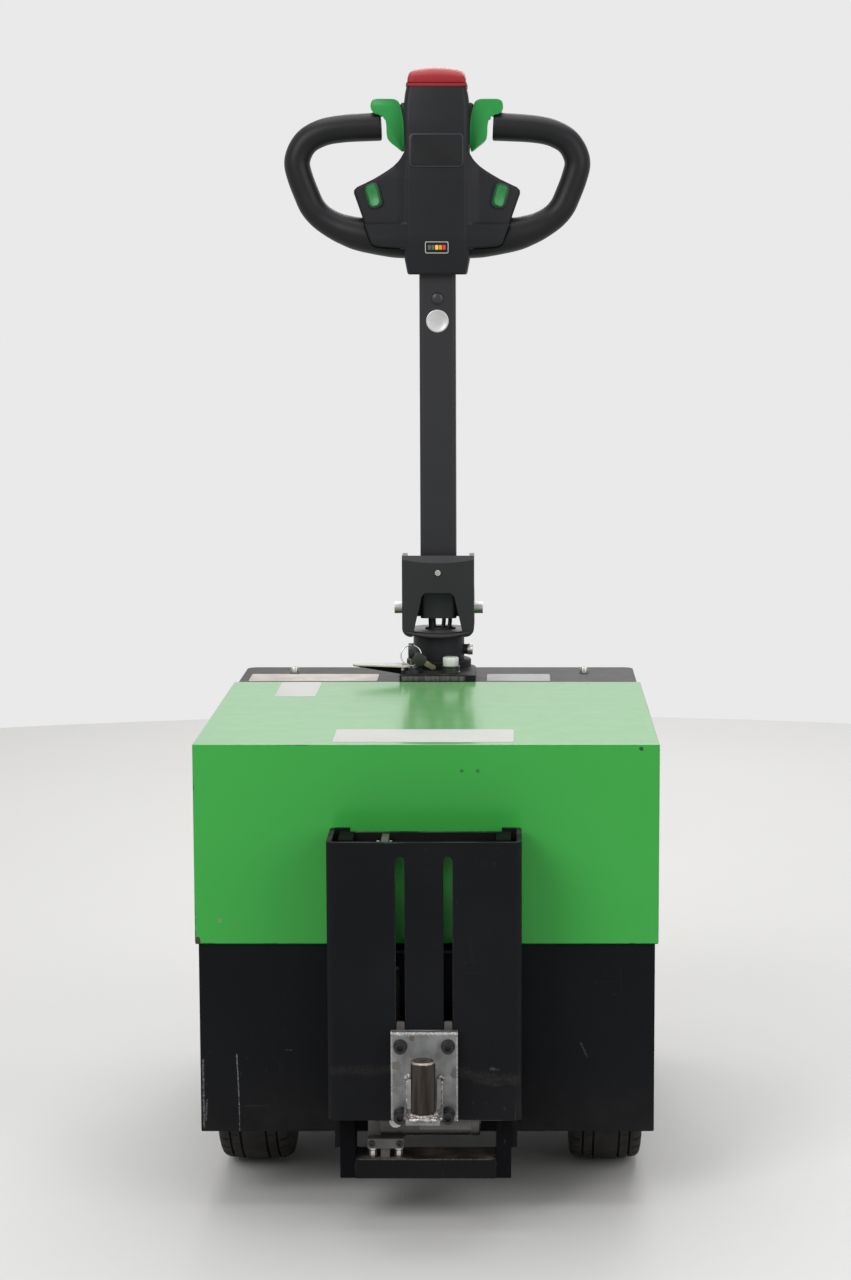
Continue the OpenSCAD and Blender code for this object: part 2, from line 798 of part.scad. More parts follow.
module thumb_levers() {
    x0 = head_half + run_gap;
    translate([0, y_steer, head_z]) mirrored_x() upright(-lever_d / 2 - 2, lever_d / 2 - 2)
        polygon([[x0, 148], [x0 + 3, 145], [grip_end - 9, 151], [grip_end - 8, 158], [grip_end - 6, 176],
            [grip_end - 3, 186], [x0 + 32, 187], [x0 + 37, 191], [x0 + 38, 195], [x0 + 36, 200],
            [x0 + 33, 203], [x0 + 10, 203], [x0 + 5, 198], [x0 + 1, 184], [x0, 176]]);
}

// Smooth path through the grip axis, as x and z in the plane of the head
grip_path = [[grip_end, grip_top], [grip_end + 20, grip_top - 1], [grip_reach - 54, grip_top - 2.5],
    [grip_reach - 33, grip_top - 6], [grip_reach - 17, grip_top - 13], [grip_reach - 8, grip_top - 21],
    [grip_reach - 2, grip_top - 32], [grip_reach, grip_top - 44], [grip_reach - 4, grip_low + 71],
    [grip_reach - 10.5, grip_low + 54], [grip_reach - 17.5, grip_low + 39], [grip_reach - 28.5, grip_low + 27],
    [grip_reach - 44, grip_low + 17.5], [grip_reach - 58, grip_low + 12], [grip_reach - 74, grip_low + 7.5],
    [head_half + 20, grip_low + 2], [head_half + 8, grip_low + 0.5], [head_half, grip_low]];
grip_fine = 3;
grip_sides = 24;

function spline(a, b, c, d, t) = 0.5 * (2 * b + (c - a) * t + (2 * a - 5 * b + 4 * c - d) * t * t
    + (3 * b - a - 3 * c + d) * t * t * t);
function path_at(p, i) = p[max(0, min(len(p) - 1, i))];
function fine(p, n) = concat([for (i = [0 : len(p) - 2], k = [0 : n - 1])
    spline(path_at(p, i - 1), p[i], p[i + 1], path_at(p, i + 2), k / n)], [p[len(p) - 1]]);
function heading(p, i) = i == len(p) - 1 || i == 0 ? [i == 0 ? 1 : -1, 0]
    : (p[i + 1] - p[i - 1]) / norm(p[i + 1] - p[i - 1]);
function ring(c, d, r) = [for (k = [0 : grip_sides - 1]) let (a = 360 * k / grip_sides)
    [c[0] - d[1] * r * cos(a), r * sin(a), c[1] + d[0] * r * cos(a)]];

module grip() {
    p = fine(grip_path, grip_fine);
    n = len(p);
    m = grip_sides;
    points = [for (i = [0 : n - 1]) each ring(p[i], heading(p, i), grip_r)];
    walls = [for (i = [0 : n - 2], k = [0 : m - 1])
        [i * m + k, i * m + (k + 1) % m, (i + 1) * m + (k + 1) % m, (i + 1) * m + k]];
    ends = [[for (k = [m - 1 : -1 : 0]) k], [for (k = [0 : m - 1]) (n - 1) * m + k]];
    polyhedron(points, concat(walls, ends), convexity = 6);
}

module grips() {
    translate([0, y_steer, head_z]) mirrored_x() grip();
}

color("black") chassis_front();
color("black") chassis_sides();
color("black") chassis_rear();
color("black") rear_deck();
color("black") battery_tray();
color("dimgray") battery_pack();
color("limegreen") hood();
color("dimgray") charge_socket();
color("silver") transaxle();
color("dimgray") drive_motor();
color("black") mast_rails();
color("black") mast_crossbars();
color("black") mast_brackets();
color("white") glide_pads();
color("silver") lift_actuator();
color("black") steering_console();
color("black") steering_crossmember();
color("silver") key_switch();
color("black") key_set();
color("white") push_button();
color("black") mast_carriage();
color("silver") tow_plate();
color("gray") tow_pin();
color("silver") tow_bolts();
color("silver") lift_rod();
color("black") rod_clevis();
color("dimgray") drive_tyre_left();
color("silver") drive_rim_left();
color("dimgray") drive_tyre_right();
color("silver") drive_rim_right();
color("black") steering_column();
color("black") tiller_fork();
color("silver") tiller_pin();
color("black") stop_bumper();
color("black") rear_fork();
color("silver") rear_axle();
color("black") tiller_cables();
color("dimgray") rear_tyre();
color("silver") rear_rim();
color("black") tiller_arm();
color("dimgray") head_shell();
color("black") grips();
color("limegreen") thumb_levers();
color("red") belly_button();
color("limegreen") rocker_switches();
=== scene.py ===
import bmesh
import bpy
import math
from mathutils import Matrix, Vector, noise


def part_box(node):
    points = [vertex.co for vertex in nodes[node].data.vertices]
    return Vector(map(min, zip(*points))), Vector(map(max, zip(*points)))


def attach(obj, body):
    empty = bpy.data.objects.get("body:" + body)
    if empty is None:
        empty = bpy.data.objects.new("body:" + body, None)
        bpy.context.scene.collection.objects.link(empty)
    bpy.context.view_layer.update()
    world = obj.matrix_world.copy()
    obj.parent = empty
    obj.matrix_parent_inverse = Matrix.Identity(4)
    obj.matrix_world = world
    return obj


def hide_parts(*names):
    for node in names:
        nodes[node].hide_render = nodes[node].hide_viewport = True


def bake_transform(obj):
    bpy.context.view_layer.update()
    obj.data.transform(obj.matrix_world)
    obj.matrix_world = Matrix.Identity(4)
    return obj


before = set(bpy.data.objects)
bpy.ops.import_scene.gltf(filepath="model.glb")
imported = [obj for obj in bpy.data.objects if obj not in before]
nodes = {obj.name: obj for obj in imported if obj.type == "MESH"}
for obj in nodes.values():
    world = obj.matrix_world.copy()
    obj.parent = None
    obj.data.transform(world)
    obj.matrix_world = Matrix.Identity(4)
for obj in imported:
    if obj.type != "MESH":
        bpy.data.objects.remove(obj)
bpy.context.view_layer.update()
scene = bpy.context.scene
mm = 0.001
print("frame loaded with", len(nodes), "nodes")

hoodLow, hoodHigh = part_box("hood")
pinLow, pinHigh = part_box("tiller_pin")
steerY = (pinLow.y + pinHigh.y) / 2
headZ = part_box("head_shell")[0].z
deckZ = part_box("rear_deck")[1].z


class Wire:
    def __init__(self, tree, socket=None):
        self.tree = tree
        self.socket = socket

    def node(self, kind, settings=None, inputs=None, output=0):
        made = self.tree.nodes.new(kind)
        for key, value in (settings or {}).items():
            if key == "stops":
                ramp = made.color_ramp
                ramp.elements.remove(ramp.elements[1])
                for index, (place, colour) in enumerate(value):
                    element = ramp.elements[0] if index == 0 else ramp.elements.new(place)
                    element.position = place
                    element.color = (*colour, 1)
            else:
                setattr(made, key, value)
        for key, value in (inputs or {}).items():
            if isinstance(value, Wire):
                self.tree.links.new(value.socket, made.inputs[key])
            else:
                made.inputs[key].default_value = value
        return Wire(self.tree, made.outputs[output])

    def maths(self, operation, first, second=0.0):
        return self.node("ShaderNodeMath", {"operation": operation}, {0: first, 1: second})

    def __abs__(self):
        return self.maths("ABSOLUTE", self)

    def least(self, other):
        return self.maths("MINIMUM", self, other)

    def most(self, other):
        return self.maths("MAXIMUM", self, other)

    def between(self, low, high):  # soft step from 0 at low to 1 at high
        return self.node("ShaderNodeMapRange", {"interpolation_type": "SMOOTHSTEP"},
                         {"Value": self, "From Min": low, "From Max": high})

    def part(self, index):
        return self.node("ShaderNodeSeparateXYZ", None, {0: self}, index)

    def vector(self, operation, other=(0, 0, 0), output=0):
        return self.node("ShaderNodeVectorMath", {"operation": operation}, {0: self, 1: other}, output)

    def stretched(self, scale):
        return self.vector("MULTIPLY", scale)

    def cloud(self, scale, detail=3.0, rough=0.55):
        return self.node("ShaderNodeTexNoise", None,
                         {"Vector": self, "Scale": scale, "Detail": detail, "Roughness": rough})

    def blend(self, first, second):  # self is the share of the second colour
        return self.node("ShaderNodeMix", {"data_type": "RGBA"}, {0: self, 6: first, 7: second}, 2)


for sign, operation in (("add", "ADD"), ("sub", "SUBTRACT"), ("mul", "MULTIPLY"), ("truediv", "DIVIDE")):
    setattr(Wire, f"__{sign}__", lambda self, other, do=operation: self.maths(do, self, other))
    setattr(Wire, f"__r{sign}__", lambda self, other, do=operation: self.maths(do, other, self))


def full(colour):  # one number stands for a grey
    return (colour, colour, colour, 1.0) if isinstance(colour, float) else (*colour, 1.0)


# every finish starts from these values and changes what it names
plainFinish = {
    "colour": 0.5, "second": None, "mottle": 6.0, "stretch": (1, 1, 1), "rough": 0.5, "roughVary": 0.08,
    "metal": 0.0, "specular": 0.5, "coat": 0.0, "coatRough": 0.05, "coatIor": 1.5, "glow": None,
    "grain": 900.0, "grainDepth": 0.0, "dust": 0.0, "dustTop": 0.25, "dustColour": (0.16, 0.145, 0.125),
    "settle": 0.0, "settleEven": 0.0, "settleColour": None, "scratch": 0.0, "scratchColour": 0.05,
    "edgeWearAndLight": 0.0, "edgeWearAndLightBox": None, "edgeWearAndLightColour": 0.05, "spots": (), "scratchesAndHighlights": (), "rings": (),
}
scratchLines = (((14, 14, 420), 0.70), ((390, 130, 11), 0.71), ((260, 260, 150), 0.68))


def edgeDistance(pos, low, high):  # how far a point of a box's skin lies from the nearest edge
    gaps = []
    for axis in range(3):
        here = pos.part(axis)
        gaps.append((here - low[axis]).least(high[axis] - here))
    x, y, z = gaps
    return x.most(y).least(y.most(z)).least(x.most(z))


def makeFinish(name, **changes):
    look = {**plainFinish, **changes}
    material = bpy.data.materials.new(name)
    material.use_nodes = True
    tree = material.node_tree
    shader = next(n for n in tree.nodes if n.type == "BSDF_PRINCIPLED")
    start = Wire(tree)
    pos = start.node("ShaderNodeTexCoord", None, None, 3)
    patch = pos.stretched(look["stretch"]).cloud(look["mottle"], 4.0)
    second = look["second"] or [c * 0.82 for c in full(look["colour"])[:3]]
    colour = patch.between(0.3, 0.72).blend(full(look["colour"]), full(second))
    fine = pos.cloud(55.0, 5.0, 0.6)
    rough = look["rough"] + (fine - 0.5) * (2 * look["roughVary"])
    if look["scratch"]:
        lines = None
        for scale, shift in scratchLines:
            made = pos.stretched(scale).cloud(1.0, 2.0, 0.5).between(shift, shift + 0.04)
            lines = made if lines is None else lines.most(made)
        broken = pos.cloud(9.0, 3.0).between(0.48, 0.7)
        mask = lines * broken * look["scratch"]
        colour = mask.blend(colour, full(look["scratchColour"]))
    # box edges change colour: wear, and on the carriage and tow plate a painted edge highlight
    if look["edgeWearAndLightBox"]:
        gap = edgeDistance(pos, *look["edgeWearAndLightBox"])
        ragged = pos.cloud(140.0, 4.0, 0.65)
        patchy = pos.cloud(11.0, 2.0).between(0.5, 0.68)
        mask = (look["edgeWearAndLight"] * (patchy * 1.6 + 0.25) * ragged - gap).between(0.0, 0.0004)
        colour = mask.blend(colour, full(look["edgeWearAndLightColour"]))
        rough = rough + mask * 0.25
    for place, radius, tint in look["spots"]:  # single chips at known places
        away = pos.vector("DISTANCE", place, 1)
        ragged = pos.cloud(260.0, 3.0)
        mask = (radius * (0.35 + ragged * 1.3) - away).between(0.0, radius * 0.15)
        colour = mask.blend(colour, full(tint))
    for begin, end, width, tint, amount in look["scratchesAndHighlights"]:  # single scratches and rub marks, and lines of painted edge highlight
        begin, end = Vector(begin), Vector(end)
        run = end - begin
        away = pos.vector("SUBTRACT", begin)
        share = away.vector("DOT_PRODUCT", run / run.length_squared, 1).most(0.0).least(1.0)
        nearest = start.node("ShaderNodeVectorMath", {"operation": "SCALE"}, {0: run, "Scale": share})
        gap = away.vector("DISTANCE", nearest, 1)
        ragged = pos.cloud(0.45 / width, 4.0, 0.65)
        speckle = 0.2 + 0.8 * pos.cloud(700.0, 3.0, 0.7).between(0.42, 0.6)
        mask = (width * (ragged * 2.2 - 0.1) - gap).between(0.0, width * 0.9) * speckle * amount
        colour = mask.blend(colour, full(tint))
    for centre, radius, width, tint, amount in look["rings"]:  # round rims: worn metal, and a painted rim highlight
        away = pos.vector("SUBTRACT", centre)
        flat = away.stretched((1, 1, 0)).vector("LENGTH", output=1)
        gap = abs(flat - radius).most(abs(away.part(2)))
        ragged = pos.cloud(330.0, 3.0, 0.65)
        mask = (width * (ragged * 1.9) - gap).between(0.0, width * 0.4) * amount
        colour = mask.blend(colour, full(tint))
    if look["dust"]:
        low = 1 - pos.part(2).between(0.0, look["dustTop"])
        mask = low * (0.25 + pos.cloud(23.0, 5.0, 0.65).between(0.35, 0.75)) * look["dust"]
        colour = mask.least(1.0).blend(colour, full(look["dustColour"]))
        rough = rough + mask * 0.3
    if look["settle"]:  # dust that lies on level faces
        up = start.node("ShaderNodeNewGeometry", None, None, 1).part(2).between(0.6, 0.95)
        even = look["settleEven"]
        mask = up * (even + (1 - even) * pos.cloud(31.0, 5.0, 0.7).between(0.3, 0.8)) * look["settle"]
        colour = mask.blend(colour, full(look["settleColour"] or look["dustColour"]))
        rough = rough + mask * 0.3
    tree.links.new(colour.socket, shader.inputs["Base Color"])
    tree.links.new(rough.socket, shader.inputs["Roughness"])
    for socket, key in (("Metallic", "metal"), ("Coat Weight", "coat"), ("Coat Roughness", "coatRough"),
                        ("Coat IOR", "coatIor"), ("Specular IOR Level", "specular")):
        shader.inputs[socket].default_value = look[key]
    if look["grainDepth"]:
        height = pos.cloud(look["grain"], 2.0)
        bump = start.node("ShaderNodeBump", None, {"Strength": 0.6, "Distance": look["grainDepth"],
                                                   "Height": height})
        tree.links.new(bump.socket, shader.inputs["Normal"])
    if look["glow"]:
        shader.inputs["Emission Color"].default_value = full(look["colour"])
        shader.inputs["Emission Strength"].default_value = look["glow"]
    return material


towPinLow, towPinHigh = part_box("tow_pin")
pinTop = (0.0, (towPinLow.y + towPinHigh.y) / 2, towPinHigh.z - 0.0007)
cornerChip = ((hoodLow.x + 0.002, hoodLow.y, hoodLow.z + 0.003), 0.0045, (0.05, 0.04, 0.02))


def marks(y, *rows):  # single scratches, rub marks and painted edge highlights on a face at y: from x and z to x and z, width, tint, amount
    return [((x0 * mm, y * mm, z0 * mm), (x1 * mm, y * mm, z1 * mm), width * mm, tint, amount)
            for x0, z0, x1, z1, width, tint, amount in rows]


looks = {
    "hoodPaint": dict(colour=(0.037, 0.32, 0.05), second=(0.041, 0.336, 0.055), mottle=3.0, rough=0.4,
        roughVary=0.05, coat=1.0, coatRough=0.16, coatIor=1.3, specular=0.0, grain=420.0, grainDepth=0.000008,
        edgeWearAndLightBox=(hoodLow, hoodHigh), edgeWearAndLight=0.0016, edgeWearAndLightColour=(0.035, 0.06, 0.035), settle=0.24, settleEven=0.75,
        settleColour=(0.57, 0.555, 0.49),
        # a darker green line along the hood's top front edge
        scratchesAndHighlights=marks(-218.3, (-234, 480, 234, 480, 1.1, (0.02, 0.17, 0.028), 0.6)),
        spots=(cornerChip, ((hoodHigh.x - 0.0186, hoodLow.y, hoodHigh.z - 0.0046), 0.0022, (0.02, 0.07, 0.02)),
               ((hoodLow.x + 0.026, hoodLow.y, hoodLow.z + 0.024), 0.0026, (0.13, 0.27, 0.09)),
               ((hoodLow.x + 0.041, hoodLow.y, hoodLow.z + 0.02), 0.0022, (0.10, 0.25, 0.07)),
               ((0.036, hoodLow.y, hoodHigh.z - 0.027), 0.0021, (0.022, 0.16, 0.032)),
               ((0.052, hoodLow.y, hoodHigh.z - 0.027), 0.0021, (0.022, 0.16, 0.032)),
               ((0.145, hoodHigh.y - 0.017, hoodHigh.z), 0.0025, (0.04, 0.09, 0.04)),
               ((0.173, hoodHigh.y - 0.017, hoodHigh.z), 0.0025, (0.04, 0.09, 0.04)))),
    "blackCoat": dict(colour=(0.0042, 0.0046, 0.0056), second=(0.006, 0.0064, 0.0076), mottle=5.0, rough=0.55,
        grainDepth=0.00006, scratch=0.2, dust=0.08, dustTop=0.16, settle=0.25, specular=0.08,
        scratchesAndHighlights=marks(-214.8, (-194.1, 160, -192.6, 118, 0.9, (0.3, 0.3, 0.31), 0.7),
                              (-192.6, 118, -192, 80, 0.8, (0.26, 0.26, 0.27), 0.6),
                              (-228.8, 154, -228.4, 84, 1.6, (0.2, 0.2, 0.21), 0.6),
                              (-225, 112, -226.2, 91, 1.2, (0.18, 0.18, 0.19), 0.6),
                              (156.6, 172, 162.8, 158, 1.2, (0.1, 0.1, 0.105), 0.5),
                              (-145, 165, -138, 164.5, 0.9, (0.1, 0.1, 0.105), 0.5))),
    "wornCoatLitEdges": dict(colour=(0.005, 0.0054, 0.0066), second=(0.0072, 0.0076, 0.009), mottle=7.0, rough=0.52,
        grainDepth=0.00006, scratch=0.3, scratchColour=0.06, dust=0.04, dustTop=0.2, settle=0.25, specular=0.08,
        # lighter carriage edges: painted edge highlight together with wear
        edgeWearAndLightBox=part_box("mast_carriage"), edgeWearAndLight=0.0011, edgeWearAndLightColour=(0.075, 0.075, 0.078),
        scratchesAndHighlights=marks(-303.3, (-90, 169, -36, 170, 7, (0.03, 0.029, 0.026), 0.4),
                              (34, 165.5, 94, 159, 7.5, (0.034, 0.032, 0.029), 0.45),
                              (66, 171.2, 72, 169.8, 2.2, (0.1, 0.095, 0.09), 0.6),
                              (50, 158.5, 70, 154, 3, (0.03, 0.029, 0.027), 0.5),
                              (70, 154, 88, 157, 3, (0.03, 0.029, 0.027), 0.5),
                              # thin light lines down the slot edges: painted edge highlight
                              (-28.2, 220, -28.2, 380, 0.8, (0.04, 0.04, 0.042), 0.6),
                              (28.2, 220, 28.2, 380, 0.8, (0.04, 0.04, 0.042), 0.6),
                              (-18.8, 220, -18.8, 300, 0.7, (0.035, 0.035, 0.037), 0.5))),
    "railCoat": dict(colour=(0.0034, 0.0036, 0.0042), second=(0.005, 0.0052, 0.006), mottle=20.0, rough=0.6,
        grainDepth=0.00005, scratch=0.3, specular=0.03),
    "deckCoat": dict(colour=(0.0062, 0.0064, 0.0072), second=(0.0085, 0.0087, 0.0095), mottle=5.0, rough=0.55,
        grainDepth=0.00006, scratch=0.25, settle=0.3, specular=0.17),
    "mastCoat": dict(colour=(0.0054, 0.0056, 0.0062), second=(0.0078, 0.008, 0.0088), mottle=7.0, rough=0.52,
        grainDepth=0.00006, scratch=0.3, scratchColour=0.06, settle=0.9, settleColour=(0.15, 0.125, 0.11),
        specular=0.08,
        # bright line along the foot bar's front top edge: painted highlight
        scratchesAndHighlights=marks(-280.25, (-66, 70.8, 66, 70.8, 1.2, (0.14, 0.125, 0.115), 0.85))),
    "armCoat": dict(colour=(0.0134, 0.013, 0.0158), second=(0.0162, 0.0159, 0.0188), rough=0.46,
        grainDepth=0.00006, scratch=0.15, scratchColour=0.06, settle=0.25, specular=0.3),
    "columnCoat": dict(colour=(0.0084, 0.0085, 0.0112), second=(0.0104, 0.0106, 0.0136), mottle=12.0,
        grainDepth=0.00006, scratch=0.15, settle=0.2, specular=0.25),
    "headPlastic": dict(colour=(0.0093, 0.0097, 0.0118), second=(0.0112, 0.0116, 0.0138), specular=0.2,
        rough=0.43, roughVary=0.05, grain=2600.0, grainDepth=0.00005, settle=0.12),
    "gripRubber": dict(colour=(0.0078, 0.0076, 0.0092), specular=0.22, rough=0.42, roughVary=0.06, grain=1900.0,
        grainDepth=0.00004),
    "leverGreen": dict(colour=(0.014, 0.245, 0.046), second=(0.017, 0.265, 0.051), rough=0.34, roughVary=0.05,
        specular=0.35),
    "buttonRed": dict(colour=(0.25, 0.014, 0.017), second=(0.275, 0.018, 0.021), rough=0.42, roughVary=0.04,
        specular=0.2),
    "zinc": dict(colour=(0.52, 0.51, 0.49), second=(0.4, 0.39, 0.37), mottle=60.0, rough=0.32, metal=0.9,
        scratch=0.5, scratchColour=(0.25, 0.24, 0.22), settle=0.15, dust=0.15, dustTop=0.12),
    "chrome": dict(colour=(0.66, 0.66, 0.67), rough=0.12, roughVary=0.04, metal=1.0),
    "plateSteel": dict(colour=(0.275, 0.285, 0.286), second=(0.155, 0.155, 0.153), mottle=60.0, rough=0.45,
        # edges lighten to near white: worn steel with a painted edge highlight
        metal=0.7, grain=700.0, grainDepth=0.0001, scratch=0.35, scratchColour=0.35, edgeWearAndLight=0.0016,
        edgeWearAndLightBox=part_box("tow_plate"), edgeWearAndLightColour=0.62,
        spots=(((0.031, -0.3113, 0.168), 0.006, (0.13, 0.12, 0.115)),
               ((-0.028, -0.3113, 0.176), 0.005, (0.16, 0.15, 0.14)),
               ((0.014, -0.3113, 0.186), 0.004, (0.17, 0.165, 0.16)),
               ((-0.012, -0.3113, 0.204), 0.003, (0.12, 0.11, 0.10))),
        # bright lines on the plate's top and side edges: painted edge highlight
        scratchesAndHighlights=marks(-311.3, (-32.5, 208.8, 32.5, 208.8, 2.2, (0.86, 0.83, 0.8), 0.9),
                              (32.2, 124, 32.2, 205, 1.1, (0.6, 0.59, 0.58), 0.7),
                              (-32.2, 124, -32.2, 205, 1.1, (0.6, 0.59, 0.58), 0.7))),
    "pinSteel": dict(colour=(0.05, 0.041, 0.036), second=(0.019, 0.014, 0.011), mottle=150.0,
        stretch=(1, 1, 0.12), rough=0.38, metal=0.8, grain=800.0, grainDepth=0.00008, scratch=0.5,
        scratchColour=(0.3, 0.27, 0.25),
        # bright ring on the pin's top rim: painted rim highlight with worn metal
        rings=((pinTop, 0.0112, 0.0014, (0.42, 0.37, 0.34), 0.9),
               (pinTop, 0.006, 0.0022, (0.20, 0.17, 0.15), 0.5))),
    "castMetal": dict(colour=(0.105, 0.1, 0.096), second=(0.07, 0.066, 0.062), mottle=40.0, metal=0.5,
        grain=500.0, grainDepth=0.0002, dust=0.2, dustTop=0.16),
    "tubeMetal": dict(colour=(0.11, 0.104, 0.101), second=(0.06, 0.056, 0.054), mottle=45.0,
        stretch=(0.3, 1, 1), rough=0.28, metal=0.85, grain=600.0, grainDepth=0.00006, dust=0.1, dustTop=0.16),
    "darkCast": dict(colour=(0.03, 0.029, 0.027), second=(0.02, 0.019, 0.018), mottle=40.0, rough=0.6,
        metal=0.3, grain=500.0, grainDepth=0.0002, dust=0.12, dustTop=0.16, specular=0.3),
    "motorEnamel": dict(colour=(0.03, 0.031, 0.033), rough=0.38, grain=600.0, grainDepth=0.0001, dust=0.3),
    "batteryCase": dict(colour=(0.1, 0.1, 0.105), grainDepth=0.0001),
    "tyreRubber": dict(colour=(0.0105, 0.01, 0.0095), second=(0.016, 0.015, 0.014), mottle=35.0, rough=0.8,
        specular=0.2, grain=1100.0, grainDepth=0.00012, dust=0.3, dustTop=0.12, dustColour=(0.1, 0.092, 0.08)),
    "rimMetal": dict(colour=0.36, second=(0.28, 0.28, 0.275), rough=0.45, metal=0.6, grain=500.0,
        grainDepth=0.0001, dust=0.3),
    "nylon": dict(colour=(0.55, 0.55, 0.51), rough=0.45, grain=700.0, grainDepth=0.00005),
    "blackPlastic": dict(colour=(0.014, 0.014, 0.015), rough=0.36, grain=1500.0, grainDepth=0.00004,
        settle=0.1),
    "blackRubber": dict(colour=0.012, rough=0.6, grainDepth=0.00006),
    "boltBlack": dict(colour=(0.012, 0.012, 0.013), second=(0.008, 0.008, 0.009), mottle=90.0, rough=0.42,
        metal=0.2, scratch=0.5, scratchColour=0.1),
    "milkyCap": dict(colour=(0.62, 0.64, 0.6), rough=0.22, roughVary=0.03, coat=0.4),
    "buttonBase": dict(colour=(0.012, 0.02, 0.012), second=(0.009, 0.011, 0.009), rough=0.3),
    "tagCream": dict(colour=(0.52, 0.49, 0.43), second=(0.43, 0.4, 0.35), mottle=60.0),
    "whiteLabel": dict(colour=(0.47, 0.475, 0.455), second=(0.44, 0.445, 0.425), rough=0.6, settle=0.06,
        specular=0.25),
    "dimLabel": dict(colour=(0.035, 0.034, 0.033), second=(0.12, 0.115, 0.11), mottle=420.0,
        stretch=(1, 1, 0.1), rough=0.6, specular=0.2),
    "greyLabel": dict(colour=(0.24, 0.24, 0.238), second=(0.2, 0.2, 0.198), mottle=90.0, rough=0.55),
    "tubeHighlightGrey": dict(colour=(0.125, 0.118, 0.116), second=(0.1, 0.094, 0.092), mottle=90.0, rough=0.55),
    "paleLabel": dict(colour=(0.42, 0.38, 0.34), second=(0.33, 0.29, 0.26), mottle=40.0, settle=0.3),
    "silverSticker": dict(colour=0.55, second=0.46, mottle=80.0, rough=0.35, metal=0.35),
    "badgeGloss": dict(colour=(0.0095, 0.0098, 0.0108), rough=0.34, roughVary=0.03, specular=0.22, grain=1500.0,
        grainDepth=0.00002),
    "badgeRim": dict(colour=(0.024, 0.025, 0.027), rough=0.35, specular=0.35),
    # near black for seams, and as painted shadow under the key tag
    "seamAndShadowBlack": dict(colour=(0.0016, 0.0016, 0.0018), rough=0.8, specular=0.05),
    "rockerGreen": dict(colour=(0.014, 0.17, 0.04), second=(0.02, 0.22, 0.055), mottle=320.0, rough=0.34,
        specular=0.35),
    # darker copy of the rocker green: painted shade on the rockers' sides
    "rockerShadeGreen": dict(colour=(0.006, 0.07, 0.018), rough=0.4, specular=0.25),
    "gaugeRed": dict(colour=(0.62, 0.03, 0.02), rough=0.3, glow=0.2),
    "gaugeOrange": dict(colour=(0.75, 0.23, 0.02), rough=0.3, glow=0.2),
    "gaugeYellow": dict(colour=(0.75, 0.52, 0.04), rough=0.3, glow=0.2),
    "gaugeGrey": dict(colour=0.1, rough=0.3),
    "keyMetal": dict(colour=(0.22, 0.19, 0.14), rough=0.36, metal=0.9, scratch=0.5, scratchColour=0.16),
    "weldMetal": dict(colour=(0.46, 0.43, 0.415), second=(0.13, 0.11, 0.1), mottle=230.0, rough=0.4, metal=0.85,
        grainDepth=0.0002),
}
finishes = {name: makeFinish(name, **look) for name, look in looks.items()}
print("finishes made:", len(finishes))

# what each solid from the frame is finished in, and how far its edges are softened
nodeFinish = {
    "hoodPaint": {"hood": 2.4},
    "blackCoat": {"chassis_front": 1.2, "chassis_sides": 1.2, "chassis_rear": 1.0, "battery_tray": 0.8,
        "steering_crossmember": 1.0, "rear_fork": 1.0},
    "deckCoat": {"rear_deck": 1.2, "steering_console": 1.5},
    "batteryCase": {"battery_pack": 4.0},
    "blackPlastic": {"charge_socket": 1.6, "key_switch": 0.6, "tow_bolts": 0.5, "key_set": 0.3},
    "darkCast": {"transaxle": 1.0},
    "motorEnamel": {"drive_motor": 2.0},
    "railCoat": {"mast_rails": 1.5},
    "mastCoat": {"mast_crossbars": 1.0},
    "wornCoatLitEdges": {"mast_brackets": 1.0, "mast_carriage": 0.0},
    "nylon": {"glide_pads": 0.8},
    "castMetal": {"lift_actuator": 1.0, "rod_clevis": 0.6},
    "plateSteel": {"tow_plate": 0.0},
    "pinSteel": {"tow_pin": 2.2},
    "chrome": {"lift_rod": 0.6},
    "rimMetal": {"drive_rim_left": 1.0, "drive_rim_right": 1.0, "rear_rim": 1.0},
    "columnCoat": {"steering_column": 0.8},
    "armCoat": {"tiller_fork": 1.5, "tiller_arm": 0.6},
    "zinc": {"tiller_pin": 0.8, "rear_axle": 0.7},
    "blackRubber": {"stop_bumper": 1.0, "tiller_cables": 0.0},
    "tyreRubber": {"rear_tyre": 1.2, "drive_tyre_left": 0.0, "drive_tyre_right": 0.0},
    "headPlastic": {"head_shell": 1.0},
    "gripRubber": {"grips": 0.0},
    "leverGreen": {"thumb_levers": 1.0, "rocker_switches": 0.6},
    "buttonRed": {"belly_button": 1.0},
    "milkyCap": {"push_button": 0.6},
}
softened = [(name, width, finish) for finish, solids in nodeFinish.items() for name, width in solids.items()]
for nodeName, soften, finishName in softened:
    solid = nodes[nodeName]
    solid.data.materials.clear()
    solid.data.materials.append(finishes[finishName])
    if soften:
        weld = solid.modifiers.new("join", "WELD")
        weld.merge_threshold = 0.00002
        bevel = solid.modifiers.new("soften", "BEVEL")
        bevel.width = soften * mm
        bevel.segments = 3
        bevel.limit_method = "ANGLE"
        bevel.angle_limit = math.radians(38)
        bevel.use_clamp_overlap = True
        even = solid.modifiers.new("even", "WEIGHTED_NORMAL")
        even.weight = 60
print("solids finished")


cameraSettings = {"place": (0.086, -2.98965, 0.9505), "down": 7.48, "lens": 78.75, "shift": -0.0673}
camera = bpy.data.objects.new("camera", bpy.data.cameras.new("camera"))
camera.data.sensor_width = 36
camera.data.lens = cameraSettings["lens"]
camera.data.shift_x = cameraSettings["shift"]
camera.location = cameraSettings["place"]
camera.rotation_euler = (math.radians(90 - cameraSettings["down"]), 0, 0)
scene.collection.objects.link(camera)
scene.camera = camera
scene.view_settings.view_transform = "Standard"

